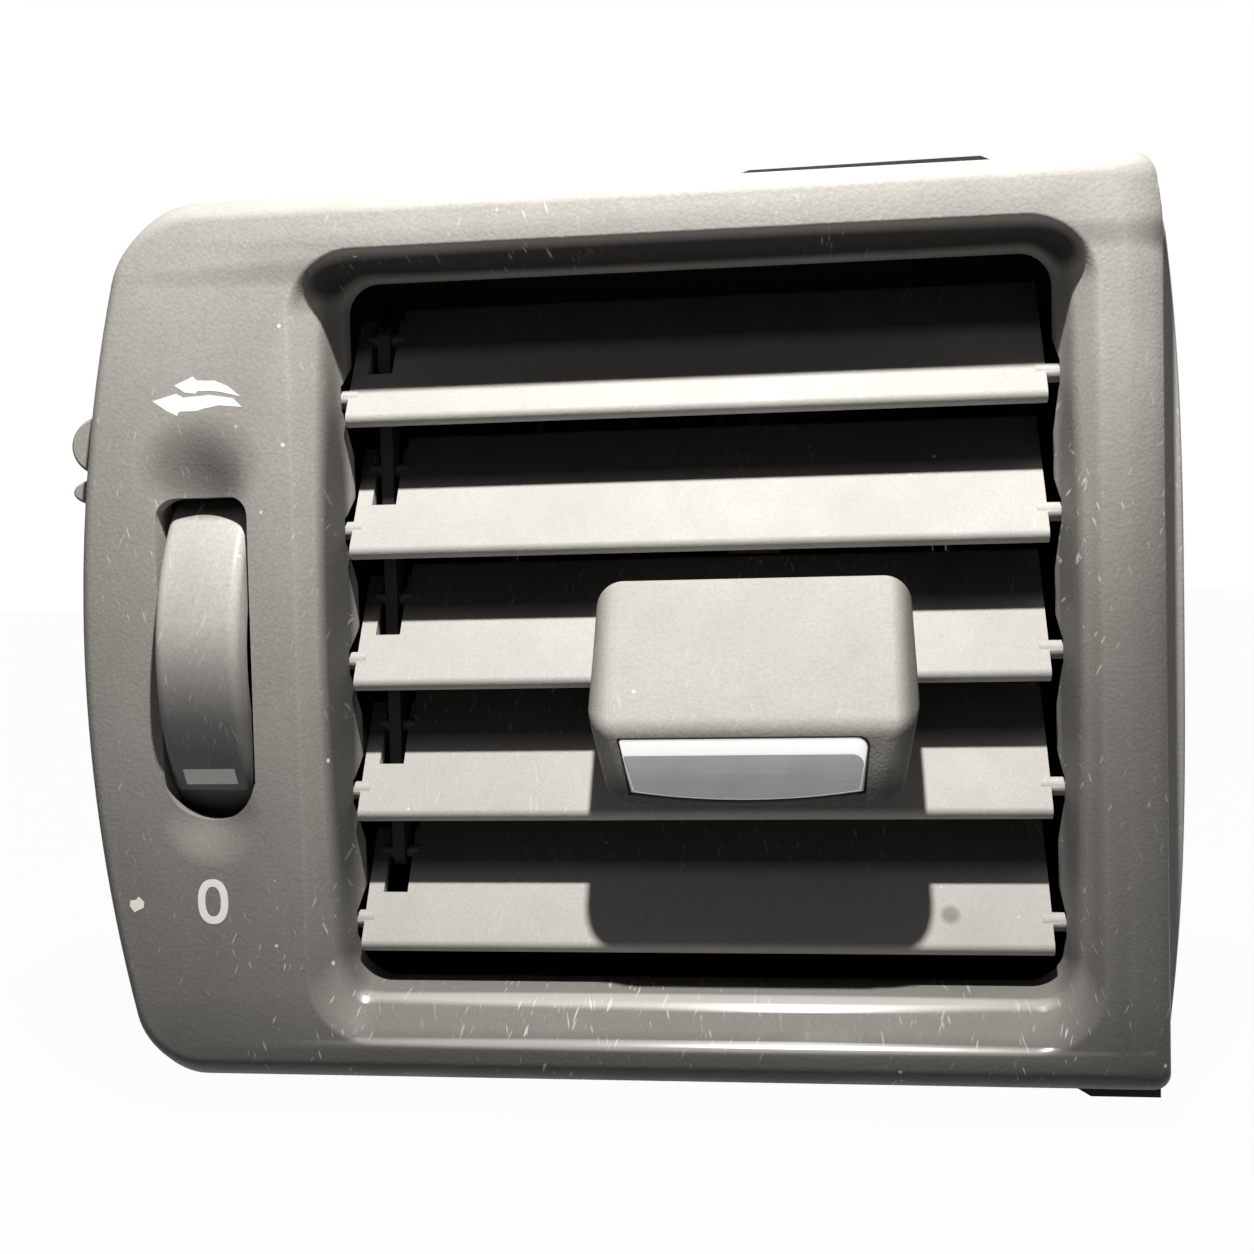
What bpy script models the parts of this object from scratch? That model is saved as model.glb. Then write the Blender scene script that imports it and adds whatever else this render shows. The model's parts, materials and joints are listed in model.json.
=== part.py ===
# Dashboard air vent with tilting vanes, sliding knob, thumbwheel and shut-off flap.
# X points right, Y into the dashboard, Z up. The origin is the centre of the
# opening, in the plane of the bezel's front face. Lengths are millimetres until
# makeObject turns them into metres.

import math

import bmesh
import bpy
from mathutils import Vector

mm = 0.001
gap = 0.3
turnGap = 0.3

# Opening, and the housing's box behind it
openingHalfWidth = 47.5
openingHalfHeight = 48.1
collarWall = 1.8
collarDepth = 12.5
wall = 2.2
boxHalfWidth = openingHalfWidth + 2.1
boxTop = openingHalfHeight + 0.9
boxBottom = -openingHalfHeight - 0.1

# Thumbwheel in the left panel; its raised band ends in a step
wheelX = -boxHalfWidth - 9.8
wheelDepth = 25.4
wheelHeight = -0.85
wheelRadius = 29.0
wheelHalfWidth = 5.3
wheelStep = 1.2
wheelStepAngle = -146.0
slotLeft = wheelX - 5.9
slotRight = wheelX + 5.8
slotTop = 19.2
slotBottom = -20.9
axleRadius = 3.0
crankRadius = 10.0
crankAngle = math.radians(80)
linkPinRadius = 1.4
linkRight = -boxHalfWidth - wall - 0.4
linkLeft = linkRight - 1.4

# Bezel
faceLeft = wheelX - 16.2
faceRight = openingHalfWidth + 4.7
faceTop = openingHalfHeight + 5.9
faceBottom = -openingHalfHeight - 3.7
leftBowRadius = 198.0
shelfWidth = 2.3
leanStart = faceTop - 6.5
skin = 2.2
rimDepth = 12.0

# Front vanes
vaneCount = 5
vanePitch = (2 * openingHalfHeight - 12.55) / vaneCount
topVaneHeight = openingHalfHeight - 16.5
vanePivotDepth = 10.5
vaneHalfLength = openingHalfWidth - 4.3
vaneNose = 4.5
vaneTail = 14.5
vaneThickness = 2.2
vanePinRadius = 1.15
vanePinReach = boxHalfWidth - 0.7
vaneRestTilt = math.radians(58)
bearingThickness = 2.4
tieOffset = 9.4
tieX = 7.9 - openingHalfWidth
tieHalfWidth = 1.9
tieThickness = 1.6
tiePinRadius = 0.9

# Knob on the third vane
knobCentre = 7.55
knobHalfWidth = 19.5
knobEdgeRadius = 3.2
forkGap = 3.5
forkWall = 1.6
forkReach = 36.5
slotHalf = 1.5
stripLeft = knobCentre - 15.35
stripRight = knobCentre + 13.25
stripHeight = 7.9
stripBevel = 1.3

# Rear vanes
rearCount = 7
rearPitch = 2 * (boxHalfWidth - 0.6) / rearCount
rearPivotDepth = 53.5
rearHalfChord = 12.0
rearThickness = 1.6
rearTop = boxTop - 3.7
rearBottom = boxBottom + 3.7
rearPinRadius = 1.2
rodDepth = vanePivotDepth + 18.0
rodArm = rearPivotDepth - rodDepth
rodRadius = 1.2
rearYaw = math.asin(knobCentre / rodArm)
rearTieArm = 9.0
rearTieHeight = rearBottom + 10.5
windowTop = 31.5
windowBottom = -29.0

# Duct behind the box, with the shut-off flap
boxRear = rearPivotDepth + 20.0
spigotStart = boxRear + 6.0
flapDepth = spigotStart + 14.0
spigotEnd = flapDepth + 28.0
spigotHalfWidth = boxHalfWidth - 10.6
spigotHalfHeight = 25.0
flapAngle = math.radians(72)
shaftRadius = 1.4

# Fixing tab above the bezel and lug below it, on the housing
tabLeft = 4.3
tabRight = 38.2
lugLeft = faceRight - 6.2
lugRight = faceRight + 4.2

for old in list(bpy.data.objects):
    bpy.data.objects.remove(old, do_unlink=True)


# Building blocks

def makeObject(name, rings, closed=False):
    """One mesh skinned over rings of points; the ends are capped, or joined up if closed."""
    shape = bmesh.new()
    loops = [[shape.verts.new(Vector(point) * mm) for point in ring] for ring in rings]
    count = len(loops[0])
    following = loops[1:] + loops[:1] if closed else loops[1:]
    for first, second in zip(loops, following):
        for i in range(count):
            j = (i + 1) % count
            shape.faces.new((first[i], first[j], second[j], second[i]))
    if not closed:
        shape.faces.new(loops[0][::-1])
        shape.faces.new(loops[-1])
    bmesh.ops.recalc_face_normals(shape, faces=shape.faces)
    mesh = bpy.data.meshes.new(name)
    shape.to_mesh(mesh)
    shape.free()
    obj = bpy.data.objects.new(name, mesh)
    bpy.context.collection.objects.link(obj)
    return obj


def onAxis(axis, along, a, b):
    """The point at distance along an axis; a and b are the other two, in X, Y, Z order."""
    if axis == "x":
        return (along, a, b)
    if axis == "y":
        return (a, along, b)
    return (a, b, along)


def prism(name, outline, axis, start, end):
    return makeObject(name, [[onAxis(axis, s, a, b) for a, b in outline] for s in (start, end)])


def circle(a, b, radius, steps=20):
    turns = [2 * math.pi * i / steps for i in range(steps)]
    return [(a + radius * math.cos(t), b + radius * math.sin(t)) for t in turns]


def cylinder(name, axis, a, b, radius, start, end, steps=20):
    return prism(name, circle(a, b, radius, steps), axis, start, end)


def box(name, left, right, front, back, bottom, top):
    outline = [(left, bottom), (right, bottom), (right, top), (left, top)]
    return prism(name, outline, "y", front, back)


def lathe(name, profile, depth, height, steps=48):
    """A ring turned about the X direction from a closed profile of (x, radius)."""
    rings = []
    for i in range(steps):
        turn = 2 * math.pi * i / steps
        dy, dz = math.cos(turn), math.sin(turn)
        rings.append([(x, depth + r * dy, height + r * dz) for x, r in profile])
    return makeObject(name, rings, closed=True)


def arc(a, b, radius, start, end, steps):
    turns = [math.radians(start + (end - start) * i / steps) for i in range(steps + 1)]
    return [(a + radius * math.cos(t), b + radius * math.sin(t)) for t in turns]


def roundedBox(left, right, bottom, top, radius, steps=5):
    corners = [(right - radius, bottom + radius, -90), (right - radius, top - radius, 0),
               (left + radius, top - radius, 90), (left + radius, bottom + radius, 180)]
    outline = []
    for a, b, start in corners:
        outline += arc(a, b, radius, start, start + 90, steps)
    return outline


def combine(target, tool, operation):
    """Bakes an exact Boolean into the target and removes the tool."""
    modifier = target.modifiers.new(operation, "BOOLEAN")
    modifier.operation = operation
    modifier.solver = "EXACT"
    modifier.object = tool
    graph = bpy.context.evaluated_depsgraph_get()
    mesh = bpy.data.meshes.new_from_object(target.evaluated_get(graph))
    target.modifiers.clear()
    target.data = mesh
    bpy.data.objects.remove(tool, do_unlink=True)


def cut(target, *tools):
    for tool in tools:
        combine(target, tool, "DIFFERENCE")


def add(target, *tools):
    for tool in tools:
        combine(target, tool, "UNION")


def finish(obj, material, origin=(0, 0, 0), smooth=35):
    """Welds strays, puts the object's origin on its joint axis and shades it."""
    shape = bmesh.new()
    shape.from_mesh(obj.data)
    bmesh.ops.remove_doubles(shape, verts=shape.verts, dist=0.002 * mm)
    bmesh.ops.translate(shape, verts=shape.verts, vec=-Vector(origin) * mm)
    shape.to_mesh(obj.data)
    shape.free()
    obj.location = Vector(origin) * mm
    obj.data.shade_smooth()
    obj.data.set_sharp_from_angle(angle=math.radians(smooth))
    obj.data.materials.clear()
    obj.data.materials.append(material)


def makeMaterial(name, colour, roughness, metallic=0.0):
    material = bpy.data.materials.new(name)
    material.use_nodes = True
    shader = material.node_tree.nodes["Principled BSDF"]
    shader.inputs["Base Color"].default_value = (*colour, 1)
    shader.inputs["Roughness"].default_value = roughness
    shader.inputs["Metallic"].default_value = metallic
    return material


# Materials

facePlastic = makeMaterial("face_plastic", (0.21, 0.205, 0.195), 0.45)
vanePlastic = makeMaterial("vane_plastic", (0.24, 0.235, 0.22), 0.5)
blackPlastic = makeMaterial("black_plastic", (0.02, 0.02, 0.021), 0.5)
acetal = makeMaterial("acetal", (0.06, 0.06, 0.06), 0.4)
brushedTrim = makeMaterial("brushed_trim", (0.42, 0.41, 0.4), 0.35, 0.9)
wheelPlastic = makeMaterial("wheel_plastic", (0.07, 0.068, 0.065), 0.4)
foam = makeMaterial("foam", (0.03, 0.03, 0.032), 0.95)
springSteel = makeMaterial("spring_steel", (0.5, 0.5, 0.5), 0.3, 1.0)


# Bezel

def bezelOutline(left, right, bottom, top, inset, lean, shelf=0.0):
    """The face outline: the left side bows out, the right one leans in at its top and
    bulges where shelf is set."""
    left, right, bottom, top = left + inset, right - inset, bottom + inset, top - inset
    upper, lower, small = 8.5 - inset / 2, 6.5 - inset / 2, 2.0 - inset / 2

    def bow(z):
        return leftBowRadius - math.sqrt(leftBowRadius ** 2 - z ** 2)

    def bulge(z):
        leaning = lean * (max(z - leanStart, 0.0) / (top - leanStart)) ** 1.5
        return shelf * max(1 - abs((z - 1.5) / 50.0) ** 3, 0.0) - leaning

    rightSide = arc(right - small, bottom + small, small, -90, 0, 3)
    span = leanStart - (bottom + small)
    rightSide += [(right, bottom + small + span * i / 8) for i in range(1, 9)]
    span = (top - small) - leanStart
    rightSide += [(right, leanStart + span * i / 3) for i in (1, 2)]
    rightSide += arc(right - small, top - small, small, 0, 90, 3)
    leftSide = arc(left + upper, top - upper, upper, 90, 180, 6)
    span = (top - upper) - (bottom + lower)
    leftSide += [(left, top - upper - span * i / 10) for i in range(1, 10)]
    leftSide += arc(left + lower, bottom + lower, lower, 180, 270, 6)
    outline = [(x + bulge(z), z) for x, z in rightSide]
    return outline + [(x + bow(z), z) for x, z in leftSide]


# Depth, how far the flank has flared at left, right and top or bottom, the inset of
# the soft front edge, how far the upper right corner leans in, and the side ledge
flankRings = [
    (0.0, 0.0, 0.0, 0.0, 1.5, 0.5, 0.0),
    (0.25, 0.0, 0.0, 0.0, 0.75, 0.5, 0.0),
    (0.8, 0.1, 0.1, 0.2, 0.2, 0.6, 0.0),
    (1.6, 0.2, 0.5, 0.7, 0.0, 0.9, 0.0),
    (3.0, 0.5, 1.5, 1.6, 0.0, 1.4, 0.0),
    (7.0, 0.6, 4.0, 1.8, 0.0, 1.9, 0.0),
    (7.4, 0.6, 4.0, 1.8, 0.0, 1.9, shelfWidth),
    (rimDepth, 0.6, 4.0, 1.8, 0.0, 1.9, shelfWidth),
]


def flankRing(row, depth=None, inset=None):
    """One row of the flank as points, or a plain copy of it further in and at a new depth."""
    y, left, right, ends, edge, lean, shelf = row
    if inset is not None:
        y, edge, shelf = depth, inset, 0.0
    outline = bezelOutline(faceLeft - left, faceRight + right, faceBottom - ends,
                           faceTop + ends, edge, lean, shelf)
    return [(x, y, z) for x, z in outline]

# Depth, how far the opening's wall stands in from the lip at left, right, bottom
# and top, and the radius of its corners
openingWall = [
    (-1.0, -1.8, -1.8, -1.8, -1.8, 8.5),
    (0.0, -0.9, -0.9, -0.9, -0.9, 8.5),
    (0.35, -0.2, -0.2, -0.2, -0.2, 8.0),
    (1.2, 0.5, 0.4, 0.7, 0.2, 7.5),
    (4.5, 2.4, 1.9, 4.5, 0.8, 5.5),
    (9.0, 3.7, 2.9, 4.9, 1.5, 4.0),
    (collarDepth + 1, 3.9, 3.1, 5.0, 1.7, 4.0),
]


def openingRing(depth, left, right, bottom, top, radius, outward=0.0):
    outline = roundedBox(left - openingHalfWidth - outward, openingHalfWidth - right + outward,
                         bottom - openingHalfHeight - outward,
                         openingHalfHeight - top + outward, radius + outward, 6)
    return [(x, depth, z) for x, z in outline]


def vaneHeight(index):
    return topVaneHeight - vanePitch * index


def makeBezel():
    bezel = makeObject("bezel", [flankRing(row) for row in flankRings])
    hollow = [flankRing(flankRings[number], depth, skin + extra)
              for number, depth, extra in ((3, skin, 1.0), (4, 3.4, 0.0), (5, 7.0, 0.0),
                                           (5, rimDepth + 1, 0.0))]
    cut(bezel, makeObject("hollow", hollow))
    # The collar behind the lip, and a thick patch round the slot for the scoops
    collar = [openingRing(min(row[0], collarDepth), *row[1:], outward=collarWall)
              for row in openingWall[3:]]
    add(bezel, makeObject("collar", collar))
    patch = roundedBox(slotLeft - 4.2, slotRight + 2.8, slotBottom - 11.1, slotTop + 11.3, 4.0)
    add(bezel, prism("patch", patch, "y", 1.0, 5.2))
    cut(bezel, makeObject("opening", [openingRing(*row) for row in openingWall]))
    # Two rounded bumps on the left flank
    for height, reach in ((26.3, 3.9), (20.5, 1.9)):
        bump = [(faceLeft + 2 + 4.6 * a, height + reach * b) for a, b in arc(0, 0, 1, 90, 270, 10)]
        add(bezel, prism("bump", bump, "y", 4.5, 10.5))
    # Slot and room for the wheel behind it
    half = (slotRight - slotLeft) / 2
    slot = arc(slotLeft + half, slotBottom + half, half, 180, 360, 12)
    slot += arc(slotRight - 2.5, slotTop - 2.5, 2.5, 0, 90, 4)
    slot += arc(slotLeft + 2.5, slotTop - 2.5, 2.5, 90, 180, 4)
    cut(bezel, prism("slot", slot, "y", -2, 8))
    cut(bezel, cylinder("wheel_room", "x", wheelDepth, wheelHeight, wheelRadius + 0.7,
                        slotLeft, slotRight, 64))
    cut(bezel, scoop(slotTop - 0.5, 8.8), scoop(slotBottom + 0.5, 6.5))
    for index in range(vaneCount):
        cut(bezel, pinNotch(vaneHeight(index)))
    # Reliefs in the rear edge, where the housing's tab and lug pass
    cut(bezel, box("tab_relief", tabLeft - 1, tabRight + 1, rimDepth - 0.6, rimDepth + 1,
                   faceTop - 4, faceTop + 4),
        box("lug_relief", lugLeft - 1, lugRight + 4, rimDepth - 0.6, rimDepth + 1,
            faceBottom - 6, faceBottom + 3.4))
    finish(bezel, facePlastic)


def scoop(height, reach):
    """A soft dish in the face at one end of the slot, level with the face at its edge."""
    rings = []
    for share, y in [(s, 0.8 * (1 + math.cos(math.pi * s)) - 0.04)
                     for s in (0.12, 0.3, 0.45, 0.6, 0.75, 0.88, 1.0)] + [(1.0, -1.0)]:
        rings.append([(wheelX + 6.9 * share * math.cos(a), y, height + reach * share * math.sin(a))
                      for a in [2 * math.pi * k / 24 for k in range(24)]])
    return makeObject("scoop", rings)


def pinNotch(height):
    """A sawtooth notch, open to the rear, in both side walls of the collar."""
    rear = collarDepth + 1
    outline = [(8.6, height - 1.5), (8.6, height + 1.5), (rear, height + 5.0),
               (rear, height - 8.4)]
    return prism("pin_notch", outline, "x", -openingHalfWidth - 2, openingHalfWidth + 2)


# Front vanes

def tilted(u, n, height, tilt=vaneRestTilt):
    """(y, z) of a point u in front of a vane's pivot and n above its plane."""
    y = vanePivotDepth - u * math.cos(tilt) - n * math.sin(tilt)
    return (y, height - u * math.sin(tilt) + n * math.cos(tilt))


def vanePrism(name, outline, height, left, right):
    return prism(name, [tilted(u, n, height) for u, n in outline], "x", left, right)


def rectangle(start, end, low, high):
    return [(start, low), (end, low), (end, high), (start, high)]


def makeVane(index):
    height = vaneHeight(index)
    half = vaneThickness / 2
    section = arc(vaneNose - half, 0, half, -90, 90, 6)
    section += [(-vaneTail + 1.0, half - 0.3), (-vaneTail, half - 0.8)]
    section += [(-vaneTail, 0.8 - half), (-vaneTail + 1.0, 0.3 - half)]
    name = f"horizontal_vane_{index + 1}"
    vane = vanePrism(name, section, height, -vaneHalfLength, vaneHalfLength)
    cut(vane, vanePrism("step", rectangle(-16, -12.4, -2, 2), height, tieX - 6, tieX + 2))
    cut(vane, vanePrism("notch", rectangle(-16, -3.3, -2, 2), height, tieX - 1.6, tieX + 1.6))
    y, z = tilted(-tieOffset, 0, height)
    add(vane, cylinder("tie_pin", "x", y, z, tiePinRadius, tieX - 2.4, tieX + 2.4, 12))
    for side in (-1, 1):
        ends = sorted((side * (vaneHalfLength - 1.2), side * vanePinReach))
        add(vane, cylinder("pin", "x", vanePivotDepth, height, vanePinRadius, *ends, 16))
    finish(vane, vanePlastic, (0, vanePivotDepth, height))


def makeVaneTieBar():
    pins = [tilted(-tieOffset, 0, vaneHeight(index)) for index in range(vaneCount)]
    y = pins[0][0]
    outline = arc(y, pins[0][1], tieHalfWidth, 0, 180, 8)
    outline += arc(y, pins[-1][1], tieHalfWidth, 180, 360, 8)
    bar = prism("vane_tie_bar", outline, "x", tieX - tieThickness / 2, tieX + tieThickness / 2)
    for y, z in pins:
        cut(bar, cylinder("hole", "x", y, z, tiePinRadius + turnGap, tieX - 2, tieX + 2, 14))
    finish(bar, blackPlastic, (tieX, *pins[2]))


def makeVaneBearing(name, side):
    left, right = sorted((side * (boxHalfWidth - gap - bearingThickness),
                          side * (boxHalfWidth - gap)))
    strip = box(name, left, right, vanePivotDepth - 2.5, vanePivotDepth + 9.5,
                boxBottom + 2.7, boxTop - 2.0)
    for index in range(vaneCount):
        cut(strip, cylinder("hole", "x", vanePivotDepth, vaneHeight(index),
                            vanePinRadius + turnGap, left - 1, right + 1, 18))
    finish(strip, blackPlastic)


# Knob, in the third vane's own directions: u forward of the pivot, n above the vane

knobVane = 2
faceSlope = math.radians(50.8)
faceDirection = (math.cos(faceSlope), -math.sin(faceSlope))
faceNormal = (math.sin(faceSlope), math.cos(faceSlope))
faceTopPoint = (15.5, 8.1)
faceEnd = (faceTopPoint[0] + 8.5 * faceDirection[0], faceTopPoint[1] + 8.5 * faceDirection[1])
knobSection = [(-6.5, -5.4), (6.0, -5.6), (11.5, -4.5), (16.6, -1.9), (faceEnd[0] - 0.7, 0.3),
               faceEnd, faceTopPoint, (14.9, 8.75), (13.8, 9.15), (11.8, 9.3), (2.0, 8.8),
               (-5.3, 8.3), (-6.5, 7.2)]


def knobRing(side, x, inset):
    height = vaneHeight(knobVane)
    ring = []
    for u, n in knobSection:
        du, dn = u - 5.0, n - 1.5
        shrink = 1 - inset / math.hypot(du, dn)
        y, z = tilted(5.0 + du * shrink, 1.5 + dn * shrink, height)
        taper = 0.03 * max(z + 6.5, 0) + 0.19 * max(-6.5 - z, 0)
        ring.append((knobCentre + side * (x - taper), y, z))
    return ring


def onKnobFace(x, down, out):
    """A point on the slanted front face: down from its top edge and out along its normal."""
    u = faceTopPoint[0] + down * faceDirection[0] + out * faceNormal[0]
    n = faceTopPoint[1] + down * faceDirection[1] + out * faceNormal[1]
    return (x, *tilted(u, n, vaneHeight(knobVane)))


def stripOutline(grow, drop=0.0):
    """(x, down) points: a straight top edge, a bowed lower edge and ends that lean in."""
    top = [(stripLeft - grow, drop - grow), (stripRight - 1.2 + grow, drop - grow),
           (stripRight + grow, drop + 1.0)]
    bottom = []
    for i in range(9):
        x = stripRight - 0.5 + grow - i / 8 * (stripRight - stripLeft - 1.5 + 2 * grow)
        across = i / 4 - 1
        bottom.append((x, stripHeight - 1.1 * across ** 2 + grow))
    return top + bottom


def makeKnob():
    turns = [math.radians(a) for a in (0, 30, 60, 90)]
    rings = [knobRing(-1, knobHalfWidth - knobEdgeRadius * (1 - math.cos(a)),
                      knobEdgeRadius * (1 - math.sin(a))) for a in turns]
    rings += [knobRing(1, knobHalfWidth - knobEdgeRadius * (1 - math.cos(a)),
                       knobEdgeRadius * (1 - math.sin(a))) for a in reversed(turns)]
    knob = makeObject("knob_shell", rings)
    height = vaneHeight(knobVane)
    nose = rectangle(-9, vaneNose + 0.5, -slotHalf, slotHalf)
    cut(knob, vanePrism("vane_slot", nose, height, -20, 40))
    pad = rectangle(-4.3, 2.3, 1.0, 2.7)
    cut(knob, vanePrism("pad_seat", pad, height, knobCentre - 8.3, knobCentre + 8.3))
    halfFork = forkGap / 2 + forkWall
    stem = rectangle(-9, 2.0, -4.5, -2.3)
    cut(knob, vanePrism("fork_seat", stem, height, knobCentre - halfFork - gap,
                        knobCentre + halfFork + gap))
    pocket = [[onKnobFace(x, down, out) for x, down in stripOutline(gap)]
              for out in (-1.2, 4.0)]
    cut(knob, makeObject("strip_seat", pocket))
    finish(knob, facePlastic, (knobCentre, vanePivotDepth, height), 40)

    rings = []
    for out, inset, drop in ((-0.9, 0.0, 0.0), (0.05, 0.0, 0.0), (0.5, 0.45, stripBevel - 0.45)):
        rings.append([onKnobFace(x, down, out) for x, down in stripOutline(-inset, drop)])
    strip = makeObject("knob_trim_strip", rings)
    finish(strip, brushedTrim, (knobCentre, vanePivotDepth, height))

    pad = vanePrism("knob_friction_pad", rectangle(-4.0, 2.0, 1.4, 2.4), height,
                    knobCentre - 8, knobCentre + 8)
    finish(pad, foam, (knobCentre, vanePivotDepth, height))
    makeFork(height, halfFork)


def makeFork(height, halfFork):
    left, right = knobCentre - halfFork, knobCentre + halfFork
    fork = vanePrism("knob_fork", rectangle(-17.5, 1.6, -4.2, -2.6), height, left, right)
    prongs = [(-forkReach, -4.2), (-15.9, -4.2), (-14.9, -3.4), (-14.9, 0.2), (-15.7, 0.8),
              (-forkReach + 1, 0.8), (-forkReach, -0.2)]
    add(fork, vanePrism("prongs", prongs, height, left, right))
    cut(fork, vanePrism("mouth", rectangle(-forkReach - 2, -15.6, -6, 3), height,
                        knobCentre - forkGap / 2, knobCentre + forkGap / 2))
    finish(fork, acetal, (knobCentre, vanePivotDepth, height))


# Rear vanes

def yawed(x, forward, side):
    """(x, y) of a point forward of a rear vane's pivot and to one side of its plane."""
    sine, cosine = math.sin(rearYaw), math.cos(rearYaw)
    return (x + forward * sine + side * cosine, rearPivotDepth - forward * cosine + side * sine)


def rearPrism(name, outline, x, bottom, top):
    return prism(name, [yawed(x, a, b) for a, b in outline], "z", bottom, top)


def makeRearVane(index):
    x = (index - (rearCount - 1) / 2) * rearPitch
    half = rearThickness / 2
    middle = index == rearCount // 2
    front = rearHalfChord
    section = [(front, 0.35 - half), (front, half - 0.35), (front - 1.5, half),
               (1.5 - front, half), (-front, half - 0.35), (-front, 0.35 - half),
               (1.5 - front, -half), (front - 1.5, -half)]
    vane = rearPrism(f"vertical_vane_{index + 1}", section, x, rearBottom, rearTop)
    if middle:
        thin = half - 0.05
        add(vane, rearPrism("frame", rectangle(5.0, rodArm + 0.9, -thin, thin), x,
                            windowBottom - 4, windowTop + 4))
        cut(vane, rearPrism("window", rectangle(6.0, rodArm + 3, -3, 3), x,
                            windowBottom, windowTop))
        rod = cylinder("rod", "z", *yawed(x, rodArm, 0), rodRadius, windowBottom - 4,
                       windowTop + 4, 16)
        add(vane, rod)
    notch = rectangle(-13.5, -5.6, -2, 2)
    cut(vane, rearPrism("notch", notch, x, rearTieHeight - 2.2, rearTieHeight + 2.2))
    pin = yawed(x, -rearTieArm, 0)
    add(vane, cylinder("tie_pin", "z", *pin, tiePinRadius, rearTieHeight - 3.2,
                       rearTieHeight + 3.2, 12))
    for start, end in ((rearBottom - 3.1, rearBottom + 1), (rearTop - 1, rearTop + 3.1)):
        add(vane, cylinder("pin", "z", x, rearPivotDepth, rearPinRadius, start, end, 14))
    finish(vane, blackPlastic, (x, rearPivotDepth, 0))


def rearX(index):
    return (index - (rearCount - 1) / 2) * rearPitch


def makeRearTieBar():
    pins = [yawed(rearX(index), -rearTieArm, 0) for index in range(rearCount)]
    outline = arc(*pins[0], tieHalfWidth, 90, 270, 8)
    outline += arc(*pins[-1], tieHalfWidth, -90, 90, 8)
    low, high = rearTieHeight - tieThickness / 2, rearTieHeight + tieThickness / 2
    bar = prism("vertical_vane_tie_bar", outline, "z", low, high)
    for a, b in pins:
        cut(bar, cylinder("hole", "z", a, b, tiePinRadius + turnGap, low - 1, high + 1, 14))
    finish(bar, blackPlastic, (*pins[rearCount // 2], rearTieHeight))


def makeRearBearing(name, bottom, top):
    edge = boxHalfWidth - gap
    strip = box(name, -edge, edge, rearPivotDepth - 5, rearPivotDepth + 5, bottom, top)
    for index in range(rearCount):
        cut(strip, cylinder("hole", "z", rearX(index), rearPivotDepth, rearPinRadius + turnGap,
                            bottom - 1, top + 1, 16))
    finish(strip, blackPlastic)


# Thumbwheel, link, crank and flap

def crankPoint(depth):
    return (depth + crankRadius * math.cos(crankAngle),
            wheelHeight + crankRadius * math.sin(crankAngle))


def makeWheel():
    left, right = wheelX - wheelHalfWidth, wheelX + wheelHalfWidth
    rimInner = wheelRadius - 3.6
    profile = [(left, rimInner), (left, wheelRadius - 1.0), (left + 0.5, wheelRadius - 0.35),
               (left + 1.5, wheelRadius), (right - 1.5, wheelRadius),
               (right - 0.5, wheelRadius - 0.35), (right, wheelRadius - 1.0),
               (right, rimInner), (wheelX + 1.5, rimInner - 1.0), (wheelX + 1.5, 6.0),
               (right - 1.0, 5.5), (right - 1.0, axleRadius + turnGap),
               (left + 1.2, axleRadius + turnGap), (left + 1.2, 5.5), (wheelX - 1.5, 6.0),
               (wheelX - 1.5, rimInner - 1.0)]
    wheel = lathe("thumbwheel", profile, wheelDepth, wheelHeight, 56)
    end = wheelStepAngle + 85
    recess = arc(wheelDepth, wheelHeight, wheelRadius + 1, wheelStepAngle, end, 14)
    recess += arc(wheelDepth, wheelHeight, wheelRadius - wheelStep, end, wheelStepAngle, 14)
    cut(wheel, prism("recess", recess, "x", left - 1, right + 1))
    add(wheel, cylinder("crank_pin", "x", *crankPoint(wheelDepth), linkPinRadius,
                        wheelX + 0.5, linkRight + 0.15, 14))
    add(wheel, cylinder("crank_base", "x", *crankPoint(wheelDepth), 2.6,
                        wheelX + 0.5, linkLeft - 0.6, 16))
    finish(wheel, wheelPlastic, (wheelX, wheelDepth, wheelHeight))
    ring = [(left - 0.1, 2.0), (left + 0.6, 2.0), (left + 0.6, 5.0), (left - 0.1, 5.0)]
    ring = lathe("thumbwheel_retainer", ring, wheelDepth, wheelHeight, 24)
    finish(ring, springSteel, (wheelX, wheelDepth, wheelHeight))


def makeLink():
    front, rear = crankPoint(wheelDepth), crankPoint(flapDepth)
    outline = arc(*front, 2.6, 90, 270, 8) + arc(*rear, 2.6, -90, 90, 8)
    link = prism("thumbwheel_link", outline, "x", linkLeft, linkRight)
    for y, z in (front, rear):
        cut(link, cylinder("hole", "x", y, z, linkPinRadius + turnGap, linkLeft - 1,
                           linkRight + 1, 16))
    finish(link, blackPlastic, (linkLeft, *front))


def makeCrank():
    y, z = crankPoint(flapDepth)
    side = (math.sin(crankAngle), -math.cos(crankAngle))
    outline = []
    turn = math.degrees(crankAngle)
    outline += arc(flapDepth, wheelHeight, 3.4, turn + 90, turn + 270, 8)
    outline += arc(y, z, 2.6, turn - 90, turn + 90, 8)
    crank = prism("damper_crank", outline, "x", linkRight + 0.8, linkRight + 2.6)
    add(crank, cylinder("pin", "x", y, z, linkPinRadius, linkLeft - 0.4, linkRight + 1.5, 14))
    add(crank, cylinder("hub", "x", flapDepth, wheelHeight, 3.2, linkRight + 1.5,
                        linkRight + 5.5, 18))
    cut(crank, cylinder("bore", "x", flapDepth, wheelHeight, 1.7, linkRight,
                        linkRight + 7, 16))
    finish(crank, acetal, (linkRight, flapDepth, wheelHeight))


def onFlap(along, across):
    """(y, z) on the closed flap: along its height, and across its thickness."""
    cosine, sine = math.cos(flapAngle), math.sin(flapAngle)
    return (flapDepth + along * cosine - across * sine,
            wheelHeight + along * sine + across * cosine)


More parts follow.
